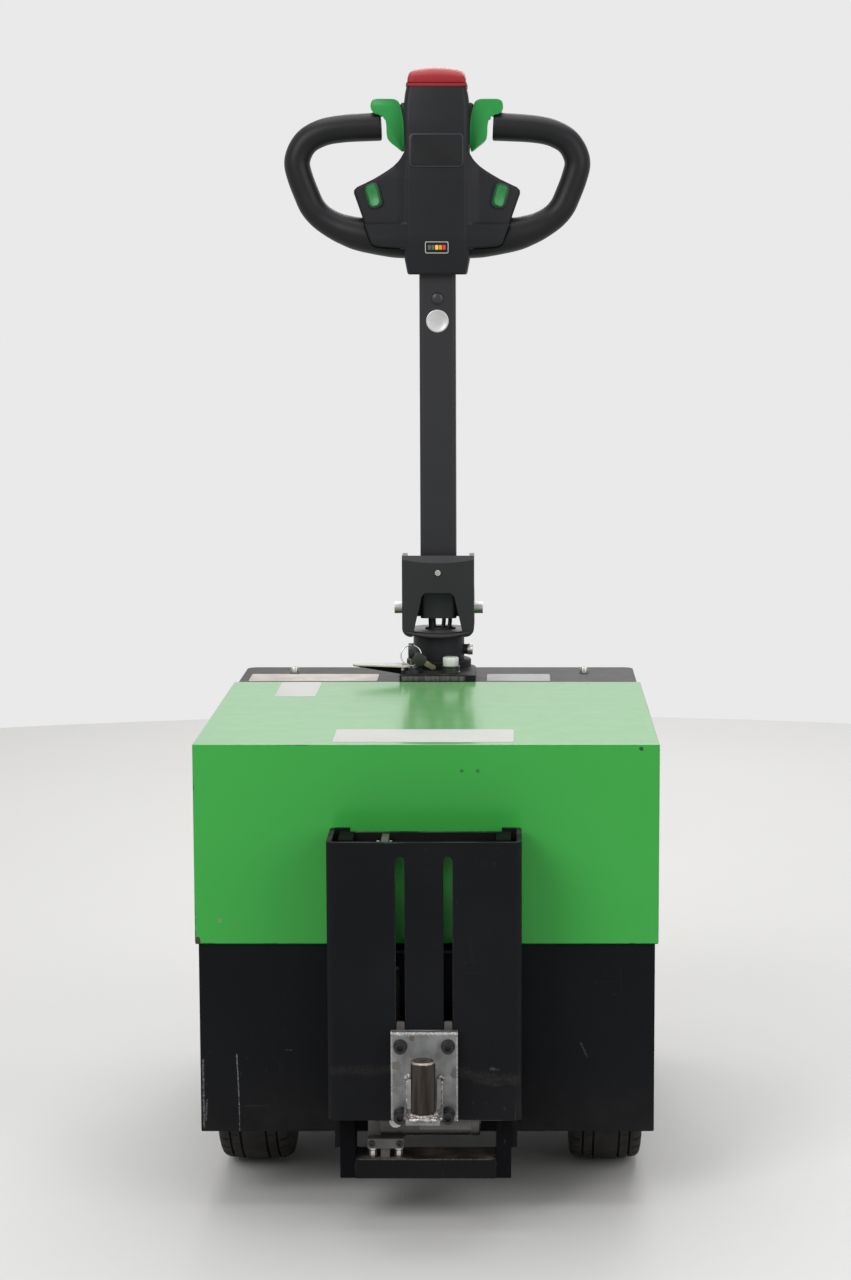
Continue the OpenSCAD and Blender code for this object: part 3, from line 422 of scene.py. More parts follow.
stageSettings = {"radius": 3.0, "floor": (0.60, 0.595, 0.585), "sky": 0.82, "ambient": 0.5}
floorMesh = bpy.data.meshes.new("floor")
floorBm = bmesh.new()
bmesh.ops.create_circle(floorBm, cap_ends=True, radius=stageSettings["radius"], segments=128)
floorBm.to_mesh(floorMesh)
floorBm.free()
floor = bpy.data.objects.new("floor", floorMesh)
floor.location.z = -0.0006
scene.collection.objects.link(floor)
floorMesh.materials.append(makeFinish("paleFloor", colour=stageSettings["floor"], rough=0.7, mottle=0.8,
                                      second=tuple(c * 0.97 for c in stageSettings["floor"])))

world = bpy.data.worlds.new("studio")
scene.world = world
world.use_nodes = True
sky = Wire(world.node_tree)
rays = [sky.node("ShaderNodeLightPath", None, None, name)
        for name in ("Is Camera Ray", "Is Glossy Ray", "Is Transmission Ray")]
seen = rays[0].most(rays[1]).most(rays[2])
strength = stageSettings["ambient"] + seen * (stageSettings["sky"] - stageSettings["ambient"])
background = next(n for n in world.node_tree.nodes if n.type == "BACKGROUND")
background.inputs["Color"].default_value = (1, 1, 1, 1)
world.node_tree.links.new(strength.socket, background.inputs["Strength"])

lamps = {
    "keyLamp": {"place": (-2.2, -3.2, 2.9), "size": 2.2, "power": 95},
    "fillLamp": {"place": (2.6, -2.4, 2.0), "size": 2.4, "power": 45},
    "topLamp": {"place": (0.0, 0.4, 3.6), "size": 2.6, "power": 60},
    "backLamp": {"place": (0.4, 3.2, 2.6), "size": 2.2, "power": 45},
}
for lampName, lamp in lamps.items():
    light = bpy.data.lights.new(lampName, "AREA")
    light.energy = lamp["power"]
    light.size = lamp["size"]
    made = bpy.data.objects.new(lampName, light)
    made.location = lamp["place"]
    made.rotation_euler = (Vector((0, 0, 0.5)) - made.location).to_track_quat("-Z", "Y").to_euler()
    scene.collection.objects.link(made)
print("camera and light placed")
move = Matrix.Translation


def turned(degrees, axis):
    return Matrix.Rotation(math.radians(degrees), 4, axis)


def facing(place, outward):  # local z looks outward, local y stays as upright as it can
    z = Vector(outward).normalized()
    x = Vector((0, 0, 1)).cross(z)
    x = x.normalized() if x.length > 0.01 else Vector((1, 0, 0))
    return move(place) @ Matrix((x, z.cross(x), z)).transposed().to_4x4()


def ahead(x, y, z):  # a place on a face that looks to the front
    return facing((x, y, z), (0, -1, 0))


def circle(steps):
    return [2 * math.pi * k / steps for k in range(steps)]


def smoothPath(points, steps):
    points = [Vector(p) for p in points]
    ends = [points[0] * 2 - points[1]] + points + [points[-1] * 2 - points[-2]]
    made = []
    for a, b, c, d in zip(ends, ends[1:], ends[2:], ends[3:]):
        for step in range(steps):
            t = step / steps
            made.append(0.5 * (2 * b + (c - a) * t + (2 * a - 5 * b + 4 * c - d) * t ** 2
                               + (3 * b - a - 3 * c + d) * t ** 3))
    return made + [points[-1]]


def skin(bm, rings, loop=False):
    rows = [[bm.verts.new(p) for p in ring] for ring in rings]
    count = len(rows[0])
    for one, two in zip(rows, rows[1:] + rows[:1] if loop else rows[1:]):
        for i in range(count):
            j = (i + 1) % count
            bm.faces.new((one[i], one[j], two[j], two[i]))
    if not loop:
        bm.faces.new(rows[0][::-1])
        bm.faces.new(rows[-1])


def sweep(bm, path, radii, sides=18, soft=(0.0, 0.0), loop=False):
    path = [Vector(p) for p in path]
    if not isinstance(radii, (list, tuple)):
        radii = [radii] * len(path)
    last = len(path) - 1
    rings = []
    side = None
    for i, (point, radius) in enumerate(zip(path, radii)):
        before = path[i - 1] if i or loop else path[0]
        after = path[(i + 1) % len(path)] if i < last or loop else path[last]
        heading = (after - before).normalized()
        side = heading.orthogonal() if side is None else side
        side = (side - heading * side.dot(heading)).normalized()
        up = heading.cross(side)

        def ring(centre, r):
            return [centre + side * (math.cos(a) * r) + up * (math.sin(a) * r) for a in circle(sides)]

        end = 0 if i == 0 else 1 if i == last else None
        if end is not None and soft[end] and not loop:  # rolled edge at a free end
            turn = [ring(point + heading * soft[end] * (1 - math.cos(a)) * (1 if end == 0 else -1),
                         radius - soft[end] * (1 - math.sin(a))) for a in (0, 0.4, 0.8, 1.2, math.pi / 2)]
            rings += turn if end == 0 else turn[::-1]
        else:
            rings.append(ring(point, radius))
    skin(bm, rings, loop)


def turnUp(bm, profile, place, steps=32):
    skin(bm, [[place @ Vector((r * math.cos(a), r * math.sin(a), z)) for a in circle(steps)] for r, z in profile])


def roundRect(width, height, radius, steps=6):
    made = []
    for sx, sy, start in ((1, 1, 0), (-1, 1, 90), (-1, -1, 180), (1, -1, 270)):
        for k in range(steps + 1):
            a = math.radians(start + 90 * k / steps)
            made.append((sx * (width / 2 - radius) + radius * math.cos(a),
                         sy * (height / 2 - radius) + radius * math.sin(a)))
    return made


def plate(bm, outline, depth, soften, place, both=False):
    low = [bm.verts.new(place @ Vector((x, y, 0))) for x, y in outline]
    high = [bm.verts.new(place @ Vector((x, y, depth))) for x, y in outline]
    bottom = bm.faces.new(low[::-1])
    top = bm.faces.new(high)
    for i in range(len(low)):
        j = (i + 1) % len(low)
        bm.faces.new((low[i], low[j], high[j], high[i]))
    rim = list(top.edges) + (list(bottom.edges) if both else [])
    bmesh.ops.bevel(bm, geom=rim, offset=soften, segments=3, profile=0.5, affect="EDGES", clamp_overlap=True)


def capScrew(bm, place, radius, height, key, depth):  # socket head, with its hexagon sunk in
    rings = []
    for rim, z in ((radius, 0), (radius, height * 0.88), (radius * 0.93, height), (None, height),
                   (None, height - depth)):
        ring = []
        for a in circle(36):
            r = rim or key / 2 / math.cos((a % (math.pi / 3)) - math.pi / 6)
            ring.append(place @ Vector((r * math.cos(a), r * math.sin(a), z)))
        rings.append(ring)
    skin(bm, rings)


def putPiece(name, bm, finish, body, smooth=40, replaces=None):
    bmesh.ops.recalc_face_normals(bm, faces=bm.faces)
    mesh = bpy.data.meshes.new(name)
    bm.to_mesh(mesh)
    bm.free()
    for face in mesh.polygons:
        face.use_smooth = True
    mesh.set_sharp_from_angle(angle=math.radians(smooth))
    mesh.materials.append(finishes[finish])
    piece = bpy.data.objects.new(name, mesh)
    scene.collection.objects.link(piece)
    if body:
        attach(piece, body)
    if replaces:
        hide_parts(replaces)
    return piece


def onePiece(name, finish, body, slot, tool, *shape, smooth=40, replaces=None):  # a piece made by one tool
    bm = bmesh.new()
    tool(bm, *shape)
    putPiece(name, bm, finish, body, smooth, replaces)


# tiller head: a tapered block with swept shoulders that carry the switches
headSettings = {
    "half": ((0, 34.2), (5, 35.0), (18, 37.5), (192, 37.5), (205, 36), (217, 33.6)),
    "front": ((0, -28.5), (12, -30.5), (40, -35), (110, -37), (174, -36), (202, -33), (217, -30)),
    "back": ((0, 27), (45, 34), (141, 36), (198, 33), (217, 30)),
    "top": 217.0, "corner": 7.0, "crown": 0.9, "crease": 57.0, "edgeRound": 2.6, "wingRoot": 30, "wingBack": 12,
    "wingEdge": ((29, 36), (31.5, 68), (33.5, 73.4), (36, 76), (53.6, 82.8), (68, 87), (88.3, 94.2), (92.5, 95.8),
                 (96.5, 95.6), (100, 92), (104.3, 82.4), (109, 72.5), (114.4, 63), (119, 55.6), (123, 50),
                 (128, 44.6), (132, 41.4), (137, 38.4), (140, 36.6)),
}


def along(table, place):
    for (a, low), (b, high) in zip(table, table[1:]):
        if place <= b:
            return low + (high - low) * max(0.0, (place - a) / (b - a))
    return table[-1][1]


def share(value):  # held between 0 and 1
    return min(1.0, max(0.0, value))


def headPoint(x, y, z):
    return Vector((x * mm, steerY + y * mm, headZ + z * mm))


def wingFront(x, z):  # front face of a shoulder, before its edge is rounded
    outer = max(0.0, (x - 37.5) / 58)
    flush = along(headSettings["front"], z) + 0.8 + 9.0 * outer ** 1.6
    swept = flush + 5.5 * share((x - 35.5) / 12) ** 0.7 + 3.0 * outer
    return flush + (swept - flush) * share((z - headSettings["crease"]) / 2.2)


def edgeGap(x, z):
    best = 99.0
    here = Vector((x, z))
    for (z1, x1), (z2, x2) in zip(headSettings["wingEdge"], headSettings["wingEdge"][1:]):
        a, b = Vector((x1, z1)), Vector((x2, z2))
        t = share((here - a).dot(b - a) / (b - a).length_squared)
        best = min(best, (a + (b - a) * t - here).length)
    return best


headMesh = bmesh.new()
rings = []
top = headSettings["top"]
for z in [0, 1.2, 3] + [5 + 4 * k for k in range(53)] + [top - 1.2, top]:
    shrink = 1.2 if z in (0, top) else 0.35 if z in (1.2, top - 1.2) else 0.0
    half = along(headSettings["half"], z) - shrink
    front = along(headSettings["front"], z) + shrink
    back = along(headSettings["back"], z) - shrink
    ring = []
    for x, y in roundRect(2 * half, back - front, headSettings["corner"], 5):
        crown = headSettings["crown"] * (1 - (x / half) ** 2) if y < 0 else 0.0  # the face swells a little
        ring.append(headPoint(x, y + (front + back) / 2 - crown, z))
    rings.append(ring)
skin(headMesh, rings)
# rows and columns of a shoulder lie closer where it bends
wingRows = [29.3, 30, 31, 31.6, 32.6, 33.6, 35, 36.4] + [38 + 2 * k for k in range(9)]
wingRows += [55.6, 56.4, 57, 57.6, 58.2, 59.2, 60.5] + [62 + 2 * k for k in range(15)]
wingRows += [92 + k for k in range(10)] + [103 + 2 * k for k in range(18)] + [138.6, 139.7]
wingColumns = [k / 16 for k in range(15)] + [0.9, 0.93, 0.96, 0.98, 0.992, 1.0]
root, soft = headSettings["wingRoot"], headSettings["edgeRound"]
for hand in (1, -1):
    wing = []
    for z in wingRows:
        outer = along(headSettings["wingEdge"], z)
        row = []
        for column in wingColumns:
            x = root + (outer - root) * column
            fall = soft - math.sqrt(max(0.0, soft ** 2 - max(0.0, soft - edgeGap(x, z)) ** 2))
            row.append((x, wingFront(x, z) + fall, z))
        back = [(x, headSettings["wingBack"] - 0.10 * (x - root) - (2.0 if x > outer - 1 else 0.0), z)
                for x, y, z in row[::-1]]
        wing.append([headPoint(hand * x, y, z) for x, y, z in row + back])
    skin(headMesh, wing)
putPiece("tillerHead", headMesh, "headPlastic", "tiller", 32, "head_shell")

# loop grips, a little fuller where they meet the head
gripSettings = {
    "path": ((64.5, 169.5, 0), (84.5, 168.5, 0), (108, 167, 0), (129, 163.5, 0), (145, 156.5, 0), (154, 148.5, 0),
             (160, 137.5, 0), (162, 125.5, 0), (158, 109.5, 0), (151.5, 92.5, 0), (144.5, 77.5, -0.5),
             (133.5, 65.5, -1), (118, 56, -2), (104, 50.5, -3), (88, 46, -4), (57.5, 40.5, -6), (45.5, 39, -6),
             (32, 38.5, -6)),
    "radius": 15.0, "full": 5.0, "inner": 1.4, "endRound": 2.2,
}
gripMesh = bmesh.new()
axis = smoothPath(gripSettings["path"], 7)
radii = []
for i in range(len(axis)):
    done = i / (len(axis) - 1)
    swell = share((done - 0.62) / 0.26)
    inner = gripSettings["inner"] * max(0.0, 1 - done / 0.3)
    radii.append((gripSettings["radius"] + inner + gripSettings["full"] * swell * swell * (3 - 2 * swell)) * mm)
for hand in (1, -1):
    route = [headPoint(hand * p.x, p.z, p.y) for p in axis]
    sweep(gripMesh, route, radii, 32, (gripSettings["endRound"] * mm, 0.0))
putPiece("loopGrips", gripMesh, "gripRubber", "tiller", 50, "grips")

# thumb levers on both sides of the head, and the dark mounts behind them
leverSettings = {
    "outline": ((38, 145), (40.2, 140.8), (47, 145.8), (55.2, 152.6), (57.6, 159.2), (58.2, 170.5), (59.9, 178.4),
                (64.1, 182.0), (68.8, 182.4), (73.2, 184.8), (76.0, 189.8), (75.4, 195.8), (72.0, 199.6),
                (60, 200.0), (48.6, 199.6), (43.8, 196.6), (41.4, 190), (39.2, 180), (38, 168)),
    "back": 10.0, "depth": 24.0, "soften": 3.2,
    "mount": ((35.5, 150), (38.6, 150), (40.4, 172), (42.6, 186), (42.8, 193), (40.6, 196), (35.5, 196.5)),
    "mountBack": 12.0, "mountDepth": 21.0, "mountSoften": 1.5,
}
leverMesh, mountMesh = bmesh.new(), bmesh.new()
loop = leverSettings["outline"]
closed = smoothPath([(x, z, 0) for x, z in loop + loop[:1]], 4)[:-1]
for hand in (1, -1):
    plate(leverMesh, [(hand * p.x * mm, p.y * mm) for p in closed][::hand], leverSettings["depth"] * mm,
          leverSettings["soften"] * mm, ahead(*headPoint(0, leverSettings["back"], 0)), True)
    plate(mountMesh, [(hand * x * mm, z * mm) for x, z in leverSettings["mount"]][::hand],
          leverSettings["mountDepth"] * mm, leverSettings["mountSoften"] * mm,
          ahead(*headPoint(0, leverSettings["mountBack"], 0)), True)
putPiece("thumbLevers", leverMesh, "leverGreen", "tiller", 50, "thumb_levers")
putPiece("leverMounts", mountMesh, "blackPlastic", "tiller")

# domed stop button that runs across the top of the head, its collar and the seam between
bellySettings = {"half": 33.4, "depth": 29.6, "height": 19.2, "crown": 0.22, "foot": 3.0, "z": 217.1,
                 "collarZ": 213.4, "seamZ": 216.8}
rings = []
ends = [0.88, 0.93, 0.965, 0.985, 0.995, 1]
for t in [-e for e in ends[::-1]] + [k / 10 for k in range(-8, 9)] + ends:
    fade = max(0.0, 1 - abs(t) ** 14) ** 0.5
    x = t * bellySettings["half"]
    wide = bellySettings["depth"] * (0.86 + 0.14 * fade)
    tall = bellySettings["height"] * (1 - bellySettings["crown"] * t * t) * (0.35 + 0.65 * fade)
    foot = bellySettings["foot"] * fade
    ring = [headPoint(x, wide, bellySettings["z"]), headPoint(x, -wide, bellySettings["z"])]
    for k in range(25):
        a = math.pi - math.pi * k / 24
        rise = math.sin(a) ** 0.82
        ring.append(headPoint(x, wide * math.cos(a), bellySettings["z"] + foot + (tall - foot) * rise))
    rings.append(ring)
onePiece("stopButton", "buttonRed", "tiller", "belly_red", skin, rings, smooth=45, replaces="belly_button")
onePiece("buttonCollar", "buttonRed", "tiller", "belly_red", plate, roundRect(0.0700, 0.0632, 0.006), 0.0034,
         0.0011, move(headPoint(0, 0, bellySettings["collarZ"])), True)
onePiece("buttonSeam", "seamAndShadowBlack", "tiller", "black_plastic", plate, roundRect(0.0690, 0.0622, 0.006), 0.0008,
         0.0002, move(headPoint(0, 0, bellySettings["seamZ"])), True)

# rocker switches in black frames and sleeves painted a darker green as shade, set into the shoulders
rockerSettings = {"x": 72.6, "z": 90.0, "lean": 15.0, "frame": (19.0, 30.0), "sleeve": (15.8, 27.4),
                  "face": (11.6, 23.4), "low": 2.6, "ends": 2.2}
frameMesh, sleeveMesh, rockerMesh = bmesh.new(), bmesh.new(), bmesh.new()
x, z = rockerSettings["x"], rockerSettings["z"]
slopeX = (wingFront(x + 6, z) - wingFront(x - 6, z)) / 12
slopeZ = (wingFront(x, z + 8) - wingFront(x, z - 8)) / 16
for hand in (1, -1):
    outward = Vector((hand * slopeX, -1, slopeZ)).normalized()
    place = facing(headPoint(hand * x, wingFront(x, z), z), outward) @ turned(-hand * rockerSettings["lean"], "Z")
    wide, tall = (v * mm for v in rockerSettings["frame"])
    plate(frameMesh, roundRect(wide, tall, 0.006), 0.0032, 0.001, place @ move((0, 0, -0.0018)))
    wide, tall = (v * mm for v in rockerSettings["sleeve"])
    plate(sleeveMesh, roundRect(wide, tall, 0.005), 0.0034, 0.0008, place @ move((0, 0, -0.0012)))
    wide, tall = (v * mm for v in rockerSettings["face"])
    rows = []
    for k in range(21):  # saddle shape: both ends stand up
        t = k / 10 - 1
        rise = (rockerSettings["low"] + rockerSettings["ends"] * t * t) * mm
        edge = wide / 2 - 0.22 * wide * (max(0.0, abs(t) - 0.66) / 0.34) ** 2
        half = [(edge, 0.0), (edge, rise - 0.0008), (edge - 0.0003, rise - 0.0002), (edge - 0.001, rise)]
        section = [(-edge, 0.0)] + half + [(-u, v) for u, v in half[:0:-1]]
        rows.append([place @ Vector((u, t * (tall / 2), v)) for u, v in section])
    skin(rockerMesh, rows)
putPiece("rockerFrames", frameMesh, "badgeGloss", "tiller")
putPiece("rockerSleeves", sleeveMesh, "rockerShadeGreen", "tiller")
putPiece("rockerFaces", rockerMesh, "rockerGreen", "tiller", 35, "rocker_switches")

# seams between the shoulders and the grips
seamSettings = {"path": ((83.4, 61), (82.9, 54), (79.6, 45), (75.9, 36), (73.2, 32.6), (68, 31.0), (60, 30.2),
                         (50, 29.6), (42, 29.2)), "radius": 0.9, "sunk": 2.2}
seamMesh = bmesh.new()
for hand in (1, -1):
    route = [headPoint(hand * q.x, wingFront(q.x, q.y) + seamSettings["sunk"], q.y)
             for q in smoothPath([(x, z, 0) for x, z in seamSettings["path"]], 6)]
    sweep(seamMesh, route, seamSettings["radius"] * mm, 8)
putPiece("shoulderSeams", seamMesh, "seamAndShadowBlack", "tiller", 60)


def onHead(z, lift):  # a place on the front of the head, looking out of it
    rise = (along(headSettings["front"], z + 8) - along(headSettings["front"], z - 8)) / 16
    return facing(headPoint(0, along(headSettings["front"], z) - headSettings["crown"] - lift, z), (0, -1, rise))


# blank badge and charge gauge on the front of the head: finish, height, size, corner, depth, edge and lift
facePlates = {
    "badgeFrame": ("badgeRim", 141.0, (62.0, 38.0), 5.0, 1.9, 0.6, -1.2),
    "badgeFace": ("badgeGloss", 141.0, (59.0, 35.0), 3.8, 0.4, 0.15, 0.65),
    "gaugeFrame": ("silverSticker", 31.0, (27.0, 13.6), 2.0, 1.3, 0.4, -0.7),
    "gaugeFace": ("badgeGloss", 31.0, (25.2, 11.8), 1.4, 0.3, 0.1, 0.55),
}
for name, (finish, z, (wide, tall), corner, depth, edge, lift) in facePlates.items():
    onePiece(name, finish, "tiller", "black_plastic", plate, roundRect(wide * mm, tall * mm, corner * mm),
             depth * mm, edge * mm, onHead(z, lift))
gaugeSettings = {"z": 31.0, "lift": 0.8, "pitch": 4.2,
                 "bars": ("gaugeGrey", "gaugeGrey", "gaugeYellow", "gaugeOrange", "gaugeRed")}
for index, barFinish in enumerate(gaugeSettings["bars"]):
    place = onHead(gaugeSettings["z"], gaugeSettings["lift"])
    place = place @ move(((index - 2) * gaugeSettings["pitch"] * mm, 0, 0))
    onePiece("gaugeBar" + str(index + 1), barFinish, "tiller", "clear_plastic", plate,
             roundRect(0.0034, 0.0052, 0.0006), 0.0006, 0.0002, place)
print("tiller head made")

# round sticker and blind plug on the arm, screws of the fork and the column
armSettings = {"sticker": 894.6, "plug": 920.5, "forkScrew": 603.5, "columnScrew": 11.0, "columnSide": 30.2}
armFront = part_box("tiller_arm")[0].y
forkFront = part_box("tiller_fork")[0].y
consoleLow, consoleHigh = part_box("steering_console")
onePiece("armSticker", "silverSticker", "tiller", "plate_steel", turnUp,
         ((0.0129, 0), (0.013, 0.00015), (0.0128, 0.0003), (0.0112, 0.00032), (0.0111, 0.00026), (0.002, 0.00026)),
         ahead(0, armFront, armSettings["sticker"] * mm), 48)
onePiece("armPlug", "blackPlastic", "tiller", "black_plastic", turnUp,
         ((0.007, 0), (0.007, 0.0007), (0.0065, 0.0014), (0.005, 0.0021), (0.003, 0.0025), (0.001, 0.0026)),
         ahead(0, armFront, armSettings["plug"] * mm))
screwMesh = bmesh.new()
capScrew(screwMesh, ahead(0, forkFront, armSettings["forkScrew"] * mm), 0.0034, 0.0022, 0.0026, 0.0018)
place = (armSettings["columnSide"] * mm, steerY, consoleHigh.z + armSettings["columnScrew"] * mm)
turnUp(screwMesh, ((0.0056, 0), (0.0056, 0.0036), (0.0066, 0.0037), (0.0066, 0.0092), (0.0061, 0.0098),
                   (0.003, 0.0099)), facing(place, (1, 0, 0)), 40)
putPiece("forkScrew", screwMesh, "zinc", "steering")

# leads between column and arm: x and radius of each, and the grommet that they come out of
cableSettings = {"low": 0.5335, "high": 0.5545, "cables": ((-7.0, 4.4), (4.6, 2.4), (11.8, 2.4))}
cableMesh = bmesh.new()
for x, radius in cableSettings["cables"]:
    route = [(x * mm + 0.0015 * math.sin(3.1 * k / 12) * (1 if x > 0 else -0.6),
              steerY + 0.001 * math.sin(2.2 * k / 12),
              cableSettings["low"] + (cableSettings["high"] - cableSettings["low"]) * k / 12) for k in range(13)]
    sweep(cableMesh, route, radius * mm, 16)
cablePiece = putPiece("tillerCables", cableMesh, "blackRubber", None, 50)
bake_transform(cablePiece)
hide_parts("tiller_cables")
onePiece("cableGrommet", "blackRubber", "steering", "rubber_black", sweep,
         [(0.002 + 0.0165 * math.cos(a), steerY + 0.0115 * math.sin(a), cableSettings["low"] + 0.0006)
          for a in circle(48)], 0.0016, 10, (0, 0), True)
lipSettings = {"half": 37.0, "rise": 5.0, "radius": 2.6, "z": 528.6}  # rolled lip at the foot of the fork
across = [k / 16 for k in range(-16, 17)]
onePiece("forkLip", "armCoat", "steering", "chassis_black", sweep,
         [(t * lipSettings["half"] * mm, forkFront - 0.0002, (lipSettings["z"] + lipSettings["rise"] * t * t) * mm)
          for t in across], [lipSettings["radius"] * mm * (1 - 0.75 * t ** 4) for t in across], 12, smooth=50)
print("tiller arm and fork dressed")

# keys: one in the switch, a second one and a tag on the ring
keyLow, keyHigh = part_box("key_switch")
keyAt = Vector(((keyLow.x + keyHigh.x) / 2, (keyLow.y + keyHigh.y) / 2, keyHigh.z))
keySettings = {
    "bow": (3.5, 0, 18.6), "blade": (1.1, 0, -0.4), "spare": (7.0, -8.2, 11.2), "spareLean": 30,
    "ring": 11.8, "ringAt": (0.2, -6.4, 14.2), "tag": (65.0, 19.0), "tagAt": (-35.0, -6.8, 2.4), "eyelet": 27.8,
    "teeth": ((10.0, -3.3), (22.5, -3.3), (25.2, 0), (23.0, 3.2), (22.1, 2.3), (21.0, 3.4), (19.6, 2.1),
              (18.1, 3.2), (16.6, 2.3), (15.1, 3.4), (10.0, 3.4)),
}


def byKey(name):
    return keyAt + Vector(keySettings[name]) * mm


spare = move(byKey("spare")) @ turned(keySettings["spareLean"], "Y") @ turned(90, "X")
keyMesh = bmesh.new()
plate(keyMesh, roundRect(0.017, 0.019, 0.006), 0.0066, 0.0014, move(byKey("bow")) @ turned(-90, "Y"), True)
plate(keyMesh, roundRect(0.016, 0.0145, 0.005), 0.0042, 0.0011, spare @ move((0.003, 0, -0.0021)), True)
putPiece("keyBows", keyMesh, "blackPlastic", "chassis", replaces="key_set")
bladeMesh = bmesh.new()
plate(bladeMesh, [(-0.004, 0), (0.004, 0), (0.004, 0.012), (-0.004, 0.012)], 0.0022, 0.0003,
      move(byKey("blade")) @ turned(-90, "Y") @ turned(-90, "Z"), True)
plate(bladeMesh, [(x * mm, y * mm) for x, y in keySettings["teeth"]], 0.0020, 0.0003,
      spare @ move((0, 0, -0.001)), True)
putPiece("keyBlades", bladeMesh, "keyMetal", "chassis")
ringMesh = bmesh.new()
radius = keySettings["ring"] * mm
for shift in (-0.0006, 0.0006):
    centre = byKey("ringAt") + Vector((0, shift, 0))
    sweep(ringMesh, [centre + Vector((radius * math.cos(a), 0.0016 * math.sin(a + 0.6), radius * math.sin(a)))
                     for a in circle(56)], 0.00075, 10, loop=True)
putPiece("keyRing", ringMesh, "chrome", "chassis", 60)
tagLong, tagWide = (v * mm for v in keySettings["tag"])
tagPlace = move(byKey("tagAt")) @ turned(1, "Y") @ turned(4, "X")
onePiece("keyTag", "tagCream", "chassis", "black_plastic", plate,
         [(x, y * (0.75 + 9 * x)) for x, y in roundRect(tagLong, tagWide, 0.006)], 0.0016, 0.0005, tagPlace, True)
# black wedge under the tag: painted shadow in the gap between tag and deck
tagEdge = [(k * mm, -tagWide / 2 * (0.75 + 0.009 * k)) for k in range(-32, 25, 4)]
tagShadowOutline = [(x, y + 0.0005) for x, y in tagEdge] + [(x, y + 0.0032) for x, y in tagEdge[::-1]]
onePiece("tagShadowWedge", "seamAndShadowBlack", "chassis", "black_plastic", skin,
         [[tagPlace @ Vector((x, y, 0.0001 - deep * (0.0004 + 0.135 * (x + tagLong / 2)))) for x, y in tagShadowOutline]
          for deep in (1, 0)])
onePiece("tagEyelet", "keyMetal", "chassis", "zinc_steel", sweep,
         [tagPlace @ Vector((keySettings["eyelet"] * mm + 0.0027 * math.cos(a), 0.0027 * math.sin(a), 0.0016))
          for a in circle(32)], 0.0007, 10, (0, 0), True, smooth=60)

# push button: milky cap on a wide black body
buttonLow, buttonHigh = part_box("push_button")
buttonSettings = {"body": 11.2, "bodyTall": 8.4, "cap": 9.2, "capTall": 10.2}
buttonAt = move(((buttonLow.x + buttonHigh.x) / 2, (buttonLow.y + buttonHigh.y) / 2, buttonLow.z))
wide, tall = buttonSettings["body"] * mm, buttonSettings["bodyTall"] * mm
onePiece("buttonBody", "buttonBase", "chassis", "black_plastic", turnUp,
         ((wide, 0), (wide, 0.0016), (wide - 0.0008, 0.0022), (wide - 0.0008, tall - 0.0022),
          (wide - 0.0002, tall - 0.0016), (wide - 0.0002, tall - 0.0004), (wide - 0.0008, tall), (0.004, tall)),
         buttonAt, 40)
wide, high = buttonSettings["cap"] * mm, tall + buttonSettings["capTall"] * mm
onePiece("buttonCap", "milkyCap", "chassis", "clear_plastic", turnUp,
         ((wide - 0.0003, tall - 0.0002), (wide, tall + 0.0004), (wide, high - 0.0014),
          (wide - 0.0004, high - 0.0005), (wide - 0.0014, high), (0.004, high), (0.001, high)),
         buttonAt, 40, replaces="push_button")

# blank labels on the hood and the deck, measured from the middle and from the front of the hood
labelSettings = {
    "hoodLabel": {"x": (-95, 88), "y": (14, 92), "z": hoodHigh.z, "finish": "whiteLabel"},
    "hoodSmallLabel": {"x": (-179, -133), "y": (319, 430), "z": hoodHigh.z, "finish": "whiteLabel"},
    "deckLabelLeft": {"x": (-221, -71), "y": (459, 516), "z": deckZ, "finish": "paleLabel"},
    "deckLabelRight": {"x": (57, 131), "y": (459, 516), "z": deckZ, "finish": "greyLabel"},
}
for name, label in labelSettings.items():
    (x0, x1), (y0, y1) = label["x"], label["y"]
    onePiece(name, label["finish"], "chassis", "clear_plastic", plate,
             roundRect((x1 - x0) * mm, (y1 - y0) * mm, 0.003), 0.00025, 0.0001,
             move(((x0 + x1) / 2 * mm, hoodLow.y + (y0 + y1) / 2 * mm, label["z"])))
# blank type plate on the front of the steering console
onePiece("typePlate", "dimLabel", "chassis", "plate_steel", plate, roundRect(0.074, 0.0052, 0.0008), 0.0005, 0.0002,
         ahead(-0.0045, consoleLow.y, deckZ + 0.0062))

# screws of the deck, the hood sides and the rear panel
screwSettings = {"deck": (172, 531), "hoodIn": 70, "hoodUp": 16, "rear": ((195, 452), (195, 205)),
                 "flat": (0.0052, 0.0026, 0.0032, 0.0016)}
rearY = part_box("chassis_rear")[1].y
screwMesh = bmesh.new()
for hand in (-1, 1):
    x, y = screwSettings["deck"]
    capScrew(screwMesh, move((hand * x * mm, hoodLow.y + y * mm, deckZ)), 0.0049, 0.0068, 0.004, 0.0025)
    inset = screwSettings["hoodIn"] * mm
    for y in (hoodLow.y + inset, hoodHigh.y - inset):
        place = facing((hand * hoodHigh.x, y, hoodLow.z + screwSettings["hoodUp"] * mm), (hand, 0, 0))
        capScrew(screwMesh, place, *screwSettings["flat"])
    for x, z in screwSettings["rear"]:
        capScrew(screwMesh, facing((hand * x * mm, rearY, z * mm), (0, 1, 0)), *screwSettings["flat"])
putPiece("bodyScrews", screwMesh, "zinc", "chassis")

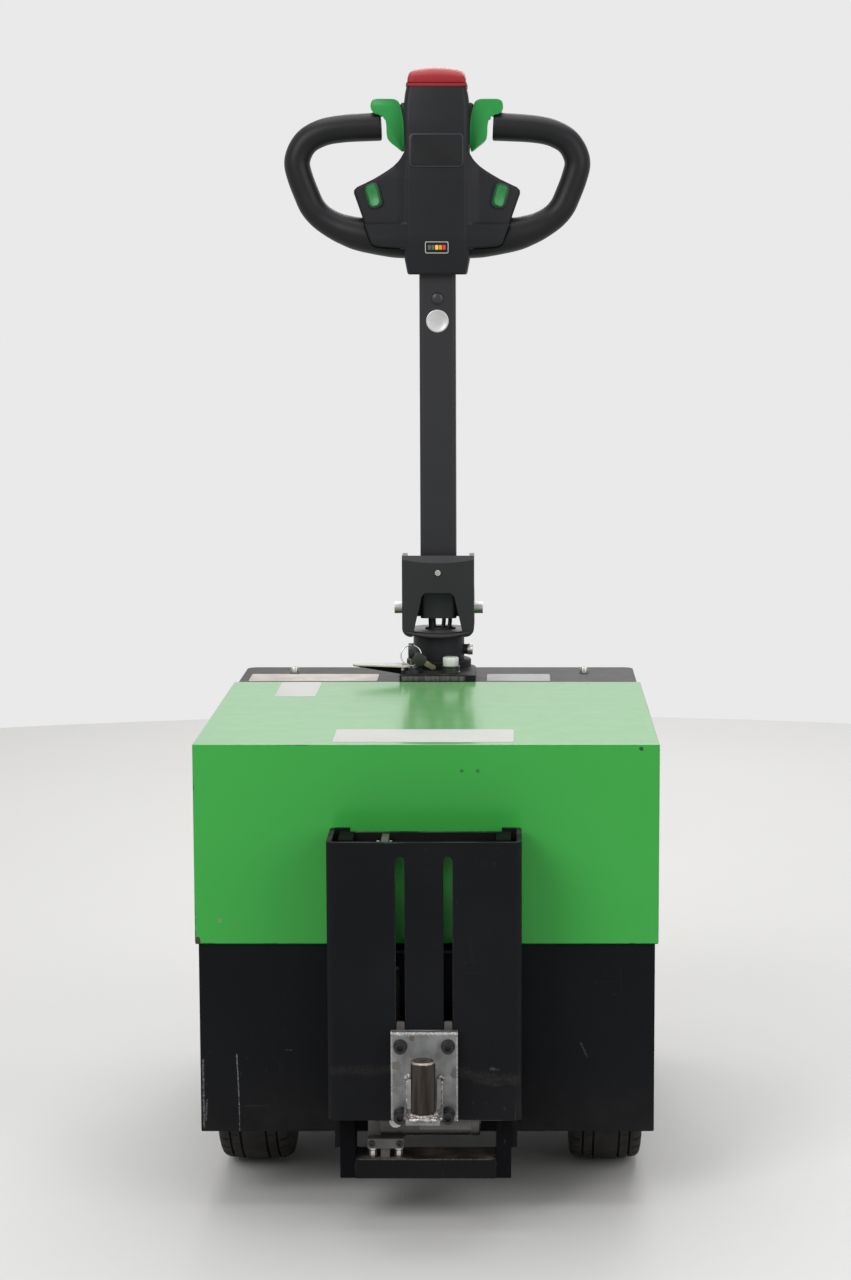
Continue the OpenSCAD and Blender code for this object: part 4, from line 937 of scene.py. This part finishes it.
# charge socket: hinge, finger tab and raised field of its lid
socketLow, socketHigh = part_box("charge_socket")
socketMid = (socketLow + socketHigh) / 2
socketMesh = bmesh.new()
sweep(socketMesh, [(socketMid.x + k * 0.0036, socketHigh.y - 0.0012, socketHigh.z - 0.0035) for k in range(-6, 7)],
      0.0028, 14, (0.0008, 0.0008))
for wide, tall, corner, depth, edge, z in ((0.018, 0.008, 0.003, 0.0028, 0.0009, socketLow.z + 0.008),
                                           (0.040, 0.026, 0.004, 0.0012, 0.0006, socketMid.z + 0.001)):
    plate(socketMesh, roundRect(wide, tall, corner), depth, edge, facing((socketMid.x, socketHigh.y, z), (0, 1, 0)))
putPiece("socketLid", socketMesh, "blackPlastic", "chassis")
print("deck, labels and rear panel dressed")

# socket-head bolts of the tow plate, with washers and the nuts behind
boltSettings = {"x": 23.5, "z": (128, 196), "out": (10.0, 0.0), "head": 6.3, "tall": 7.6, "key": 6.0, "sunk": 4.0,
                "washer": 7.0, "plate": 8.0, "sheet": 5.0}
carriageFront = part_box("mast_carriage")[0].y
plateFront = carriageFront - boltSettings["plate"] * mm
boltX, washer = boltSettings["x"] * mm, boltSettings["washer"] * mm
boltMesh, slotMesh = bmesh.new(), bmesh.new()
for hand in (-1, 1):
    for z, out in zip(boltSettings["z"], boltSettings["out"]):
        place = ahead(hand * boltX, plateFront, z * mm)
        profile = [(washer, 0), (washer, 0.0012), (washer - 0.0004, 0.0016), (0.004, 0.0016)]
        if out:  # nut and thread up to the head of the long bolts
            profile = profile[:3] + [(0.0058, 0.0018), (0.0061, 0.0024), (0.0061, 0.0052), (0.0056, 0.0060)]
            for k in range(3):
                profile += [(0.0042, 0.0064 + k * 0.0012), (0.0047, 0.0070 + k * 0.0012)]
            profile += [(0.0060, out * mm + 0.0006), (0.0060, out * mm + 0.0016), (0.004, out * mm + 0.0016)]
        turnUp(boltMesh, profile, place)
        capScrew(boltMesh, place @ move((0, 0, out * mm + 0.0015)),
                 *(boltSettings[key] * mm for key in ("head", "tall", "key", "sunk")))
        back = facing((hand * boltX, carriageFront + boltSettings["sheet"] * mm, z * mm), (0, 1, 0))
        turnUp(boltMesh, ((0.0074, 0), (0.0074, 0.0058), (0.0066, 0.0066), (0.0042, 0.0066)), back, 6)
        turnUp(boltMesh, ((0.0039, 0), (0.0039, 0.0085), (0.0032, 0.0092)), back, 24)
    plate(slotMesh, roundRect(0.0078, 0.0095, 0.0008), 0.0041, 0.0005,
          ahead(hand * boltX, carriageFront + 0.0045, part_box("tow_plate")[1].z + 0.0035))
putPiece("slotBlocks", slotMesh, "castMetal", "carriage")
lugLow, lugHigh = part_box("rod_clevis")
lugMesh = bmesh.new()
for shift in (-0.0062, 0.0062):
    turnUp(lugMesh, ((0.0026, -0.0004), (0.0026, 0.004), (0.0021, 0.0046), (0.0017, 0.0047), (0.0017, 0.0090),
                     (0.0013, 0.0094)),
           move(((lugLow.x + lugHigh.x) / 2 + shift, lugLow.y + 0.0085, lugHigh.z - 0.009)), 6)
putPiece("lugNuts", lugMesh, "zinc", "carriage")
putPiece("towBolts", boltMesh, "boltBlack", "carriage", replaces="tow_bolts")

noise.seed_set(7)  # the beads come out the same in each run


def weldBead(bm, route, radius, seed):  # rippled bead laid along a route
    fine = []
    for a, b in zip(route, route[1:]):
        a, b = Vector(a), Vector(b)
        count = max(2, int((b - a).length / (radius * 0.35)))
        fine += [a + (b - a) * k / count for k in range(count)]
    fine.append(Vector(route[-1]))
    made, radii = [], []
    for i, point in enumerate(fine):
        drift = noise.noise_vector(point * 260 + Vector((seed, 0, 0))) * radius * 0.28
        ripple = 0.86 + 0.16 * abs(math.sin(i * 0.9)) + 0.22 * noise.noise(point * 420 + Vector((0, seed, 0)))
        taper = min(1.0, 0.45 + 0.2 * min(i, len(fine) - 1 - i))
        made.append(point + drift)
        radii.append(radius * ripple * taper)
    sweep(bm, made, radii, 12)


# welds of the tow pin, its shelf and the plate
pinY, shelfTop = pinTop[1], towPinLow.z
weldMesh = bmesh.new()
arc = [math.radians(176 + 13.4 * k) for k in range(15)]
for ring, (reach, low, bead) in enumerate(((0.0132, 0.0008, 0.0024), (0.0152, -0.0004, 0.0019))):
    route = [(reach * math.cos(a), pinY + reach * math.sin(a), shelfTop + low) for a in arc]
    weldBead(weldMesh, route, bead, 1 + ring)
for hand in (-1, 1):
    weldBead(weldMesh, [(hand * 0.0170, plateFront - 0.0004, shelfTop + z * mm) for z in (-5, 8, 18, 24)], 0.0015,
             2 + hand)
    weldBead(weldMesh, [(hand * x * mm, plateFront - y * mm, shelfTop + z * mm)
                        for x, y, z in ((15.8, 3.4, 25.0), (17.0, 1.2, 26.8), (19.2, 0.6, 26.0))], 0.0046, 5 + hand)
    weldBead(weldMesh, [(hand * 0.0176, pinY + y * mm, shelfTop - 0.0004) for y in (-14, -4, 8, 20, 32)], 0.0017,
             13 + hand)
weldBead(weldMesh, [(x * mm, plateFront - 0.0008, shelfTop - 0.0068) for x in (-15, -5, 5, 15)], 0.0019, 9)
weldBead(weldMesh, [(x * mm, pinY - 0.0158, shelfTop - 0.0012) for x in (-14, -6, 2, 13)], 0.0022, 17)
putPiece("couplingWelds", weldMesh, "weldMetal", "carriage", 60)

# welds between the foot bar and the mast rails
barLow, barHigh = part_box("mast_crossbars")
footWelds = bmesh.new()
for hand in (-1, 1):
    inner = hand * barHigh.x - hand * 0.0008
    weldBead(footWelds, [(inner, barLow.y + 0.001, barLow.z + z * mm) for z in (2, 10, 18)], 0.0017, 11 + hand)
    weldBead(footWelds, [(inner, barLow.y + y * mm, barLow.z + 0.020 + 0.0004) for y in (3, 14, 26, 37)], 0.0018,
             15 + hand)
putPiece("footWelds", footWelds, "wornCoatLitEdges", "chassis", 60)

# lift actuator: motor tube, a pale grey band painted on as the tube's highlight, round front cap, foot screws and
# studs
liftSettings = {"motorZ": 106.5, "motorShift": -1.5, "motor": 13.5, "label": (-6, 46), "footFront": 14.0,
                "tube": 13.0, "cap": (-29.7, 110.5), "screws": ((-54, 87), (-26, 87)), "studs": (-53, -27),
                "studZ": 71.1, "studTall": 10.9}
liftLow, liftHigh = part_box("lift_actuator")
rodLow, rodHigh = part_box("lift_rod")
liftY = (rodLow.y + rodHigh.y) / 2
motorY = liftY + liftSettings["motorShift"] * mm
motorZ, motorR = liftSettings["motorZ"] * mm, liftSettings["motor"] * mm
footFront = liftY - liftSettings["footFront"] * mm
tubeStart = liftLow.x + liftSettings["tube"] * mm
long = liftHigh.x - liftLow.x - liftSettings["tube"] * mm
r = motorR + 0.0003
onePiece("motorTrim", "tubeMetal", "chassis", "cast_housing", turnUp,
         ((r - 0.002, -0.0002), (r, 0), (r, 0.0225), (r + 0.0005, 0.0226), (r + 0.0005, 0.0254), (r, 0.0255),
          (r, 0.0335), (r + 0.0003, 0.0336), (r + 0.0003, 0.0352), (r, 0.0353), (r, long - 0.009),
          (r - 0.0006, long - 0.0089), (r - 0.0006, long - 0.0079), (r + 0.0005, long - 0.0078),
          (r + 0.0005, long - 0.0006), (r - 0.0006, long + 0.0004), (r - 0.008, long + 0.0004),
          (r - 0.0085, long + 0.0012), (0.002, long + 0.0013)),
         move((tubeStart, motorY, motorZ)) @ turned(90, "Y"), 64, smooth=35)
x, z = (v * mm for v in liftSettings["cap"])
onePiece("gearCover", "milkyCap", "chassis", "clear_plastic", turnUp,
         ((0.0066, -0.0022), (0.0066, 0.0008), (0.0061, 0.0015), (0.0045, 0.0019), (0.001, 0.002)),
         facing((x, motorY - math.sqrt(motorR ** 2 - (z - motorZ) ** 2), z), (0, -1, 0.3)))
# pale grey band over the tube's upper front: painted highlight
x0, x1 = (v * mm for v in liftSettings["label"])
rows = []
for k in range(19):
    a = math.radians(95 + 5.8 * k)
    rows.append([Vector((x, motorY + r * math.cos(a), motorZ + r * math.sin(a))) for x, r in
                 ((x0, motorR), (x1, motorR), (x1, motorR + 0.0006), (x0, motorR + 0.0006))])
onePiece("motorHighlightBand", "tubeHighlightGrey", "chassis", "clear_plastic", skin, rows)
screwMesh = bmesh.new()
for x, z in liftSettings["screws"]:
    capScrew(screwMesh, ahead(x * mm, footFront, z * mm), 0.0032, 0.0024, 0.0026, 0.0016)
putPiece("footScrews", screwMesh, "boltBlack", "chassis")
screwMesh = bmesh.new()
tall = liftSettings["studTall"] * mm
for x in liftSettings["studs"]:  # studs between the foot bar and the foot block
    place = move((x * mm, footFront + 0.007, liftSettings["studZ"] * mm))
    turnUp(screwMesh, ((0.0024, 0), (0.0024, tall)), place, 20)
    turnUp(screwMesh, ((0.0034, 0.0012), (0.0039, 0.0018), (0.0039, 0.0066), (0.0034, 0.0072)), place, 6)
    turnUp(screwMesh, ((0.0046, tall - 0.0022), (0.0046, tall - 0.0006), (0.003, tall - 0.0006)), place, 24)
putPiece("liftScrews", screwMesh, "zinc", "chassis")

# drive tyres: a wide centre rib between narrow grooves, notched shoulders; half section as width and radius
tyreSettings = {"pitches": 44, "groove": 4.2, "cut": 4.2, "slit": 1.8}
tyreSteps = (0, 0.03, 0.24, 0.27, 0.5, 0.53, 0.58, 0.61, 0.8)
tyreSide = ((0.72, 0.446), (0.86, 0.492), (0.96, 0.62), (1.0, 0.76), (1.0, 0.86), (0.992, 0.915), (0.975, 0.942),
            (0.945, 0.96), (0.9, 0.972), (0.84, 0.98), (0.78, 0.985), (0.735, 0.987), (0.725, 0.987),
            (0.675, 0.988), (0.665, 0.988), (0.625, 0.99), (0.615, 0.99), (0.5, 0.994), (0.385, 0.997),
            (0.375, 0.997), (0.335, 0.998), (0.325, 0.998), (0.18, 1.0))
tyreSection = [(-s, r) for s, r in tyreSide] + [(0.0, 1.0)] + [(s, r) for s, r in tyreSide[::-1]]


def treadDepth(s, r, step):
    s = abs(s)
    if 0.62 <= s <= 0.67 or 0.33 <= s <= 0.38:
        return tyreSettings["groove"]
    if s > 0.73 and 0.02 < step < 0.25:
        return tyreSettings["cut"] * share((1.0 - s) / 0.03) * (1 if r > 0.9 else 0.0)
    return tyreSettings["slit"] if 0.45 < s < 0.6 and 0.52 < step < 0.59 else 0.0


for side in ("left", "right"):
    tyreLow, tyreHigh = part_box("drive_tyre_" + side)
    hub, reach = (tyreLow + tyreHigh) / 2, (tyreHigh - tyreLow) / 2
    rings = []
    for pitch in range(tyreSettings["pitches"]):
        for step in tyreSteps:
            a = 2 * math.pi * (pitch + step) / tyreSettings["pitches"]
            ring = []
            for s, r in tyreSection:
                away = r * reach.z - treadDepth(s, r, step) * mm
                ring.append(hub + Vector((s * reach.x, away * math.cos(a), away * math.sin(a))))
            rings.append(ring)
    onePiece("driveTyre" + side.capitalize(), "tyreRubber", "drive_wheel_" + side, "tyre_rubber", skin, rings, True,
             smooth=38, replaces="drive_tyre_" + side)
print("mast, coupling and tyres dressed")
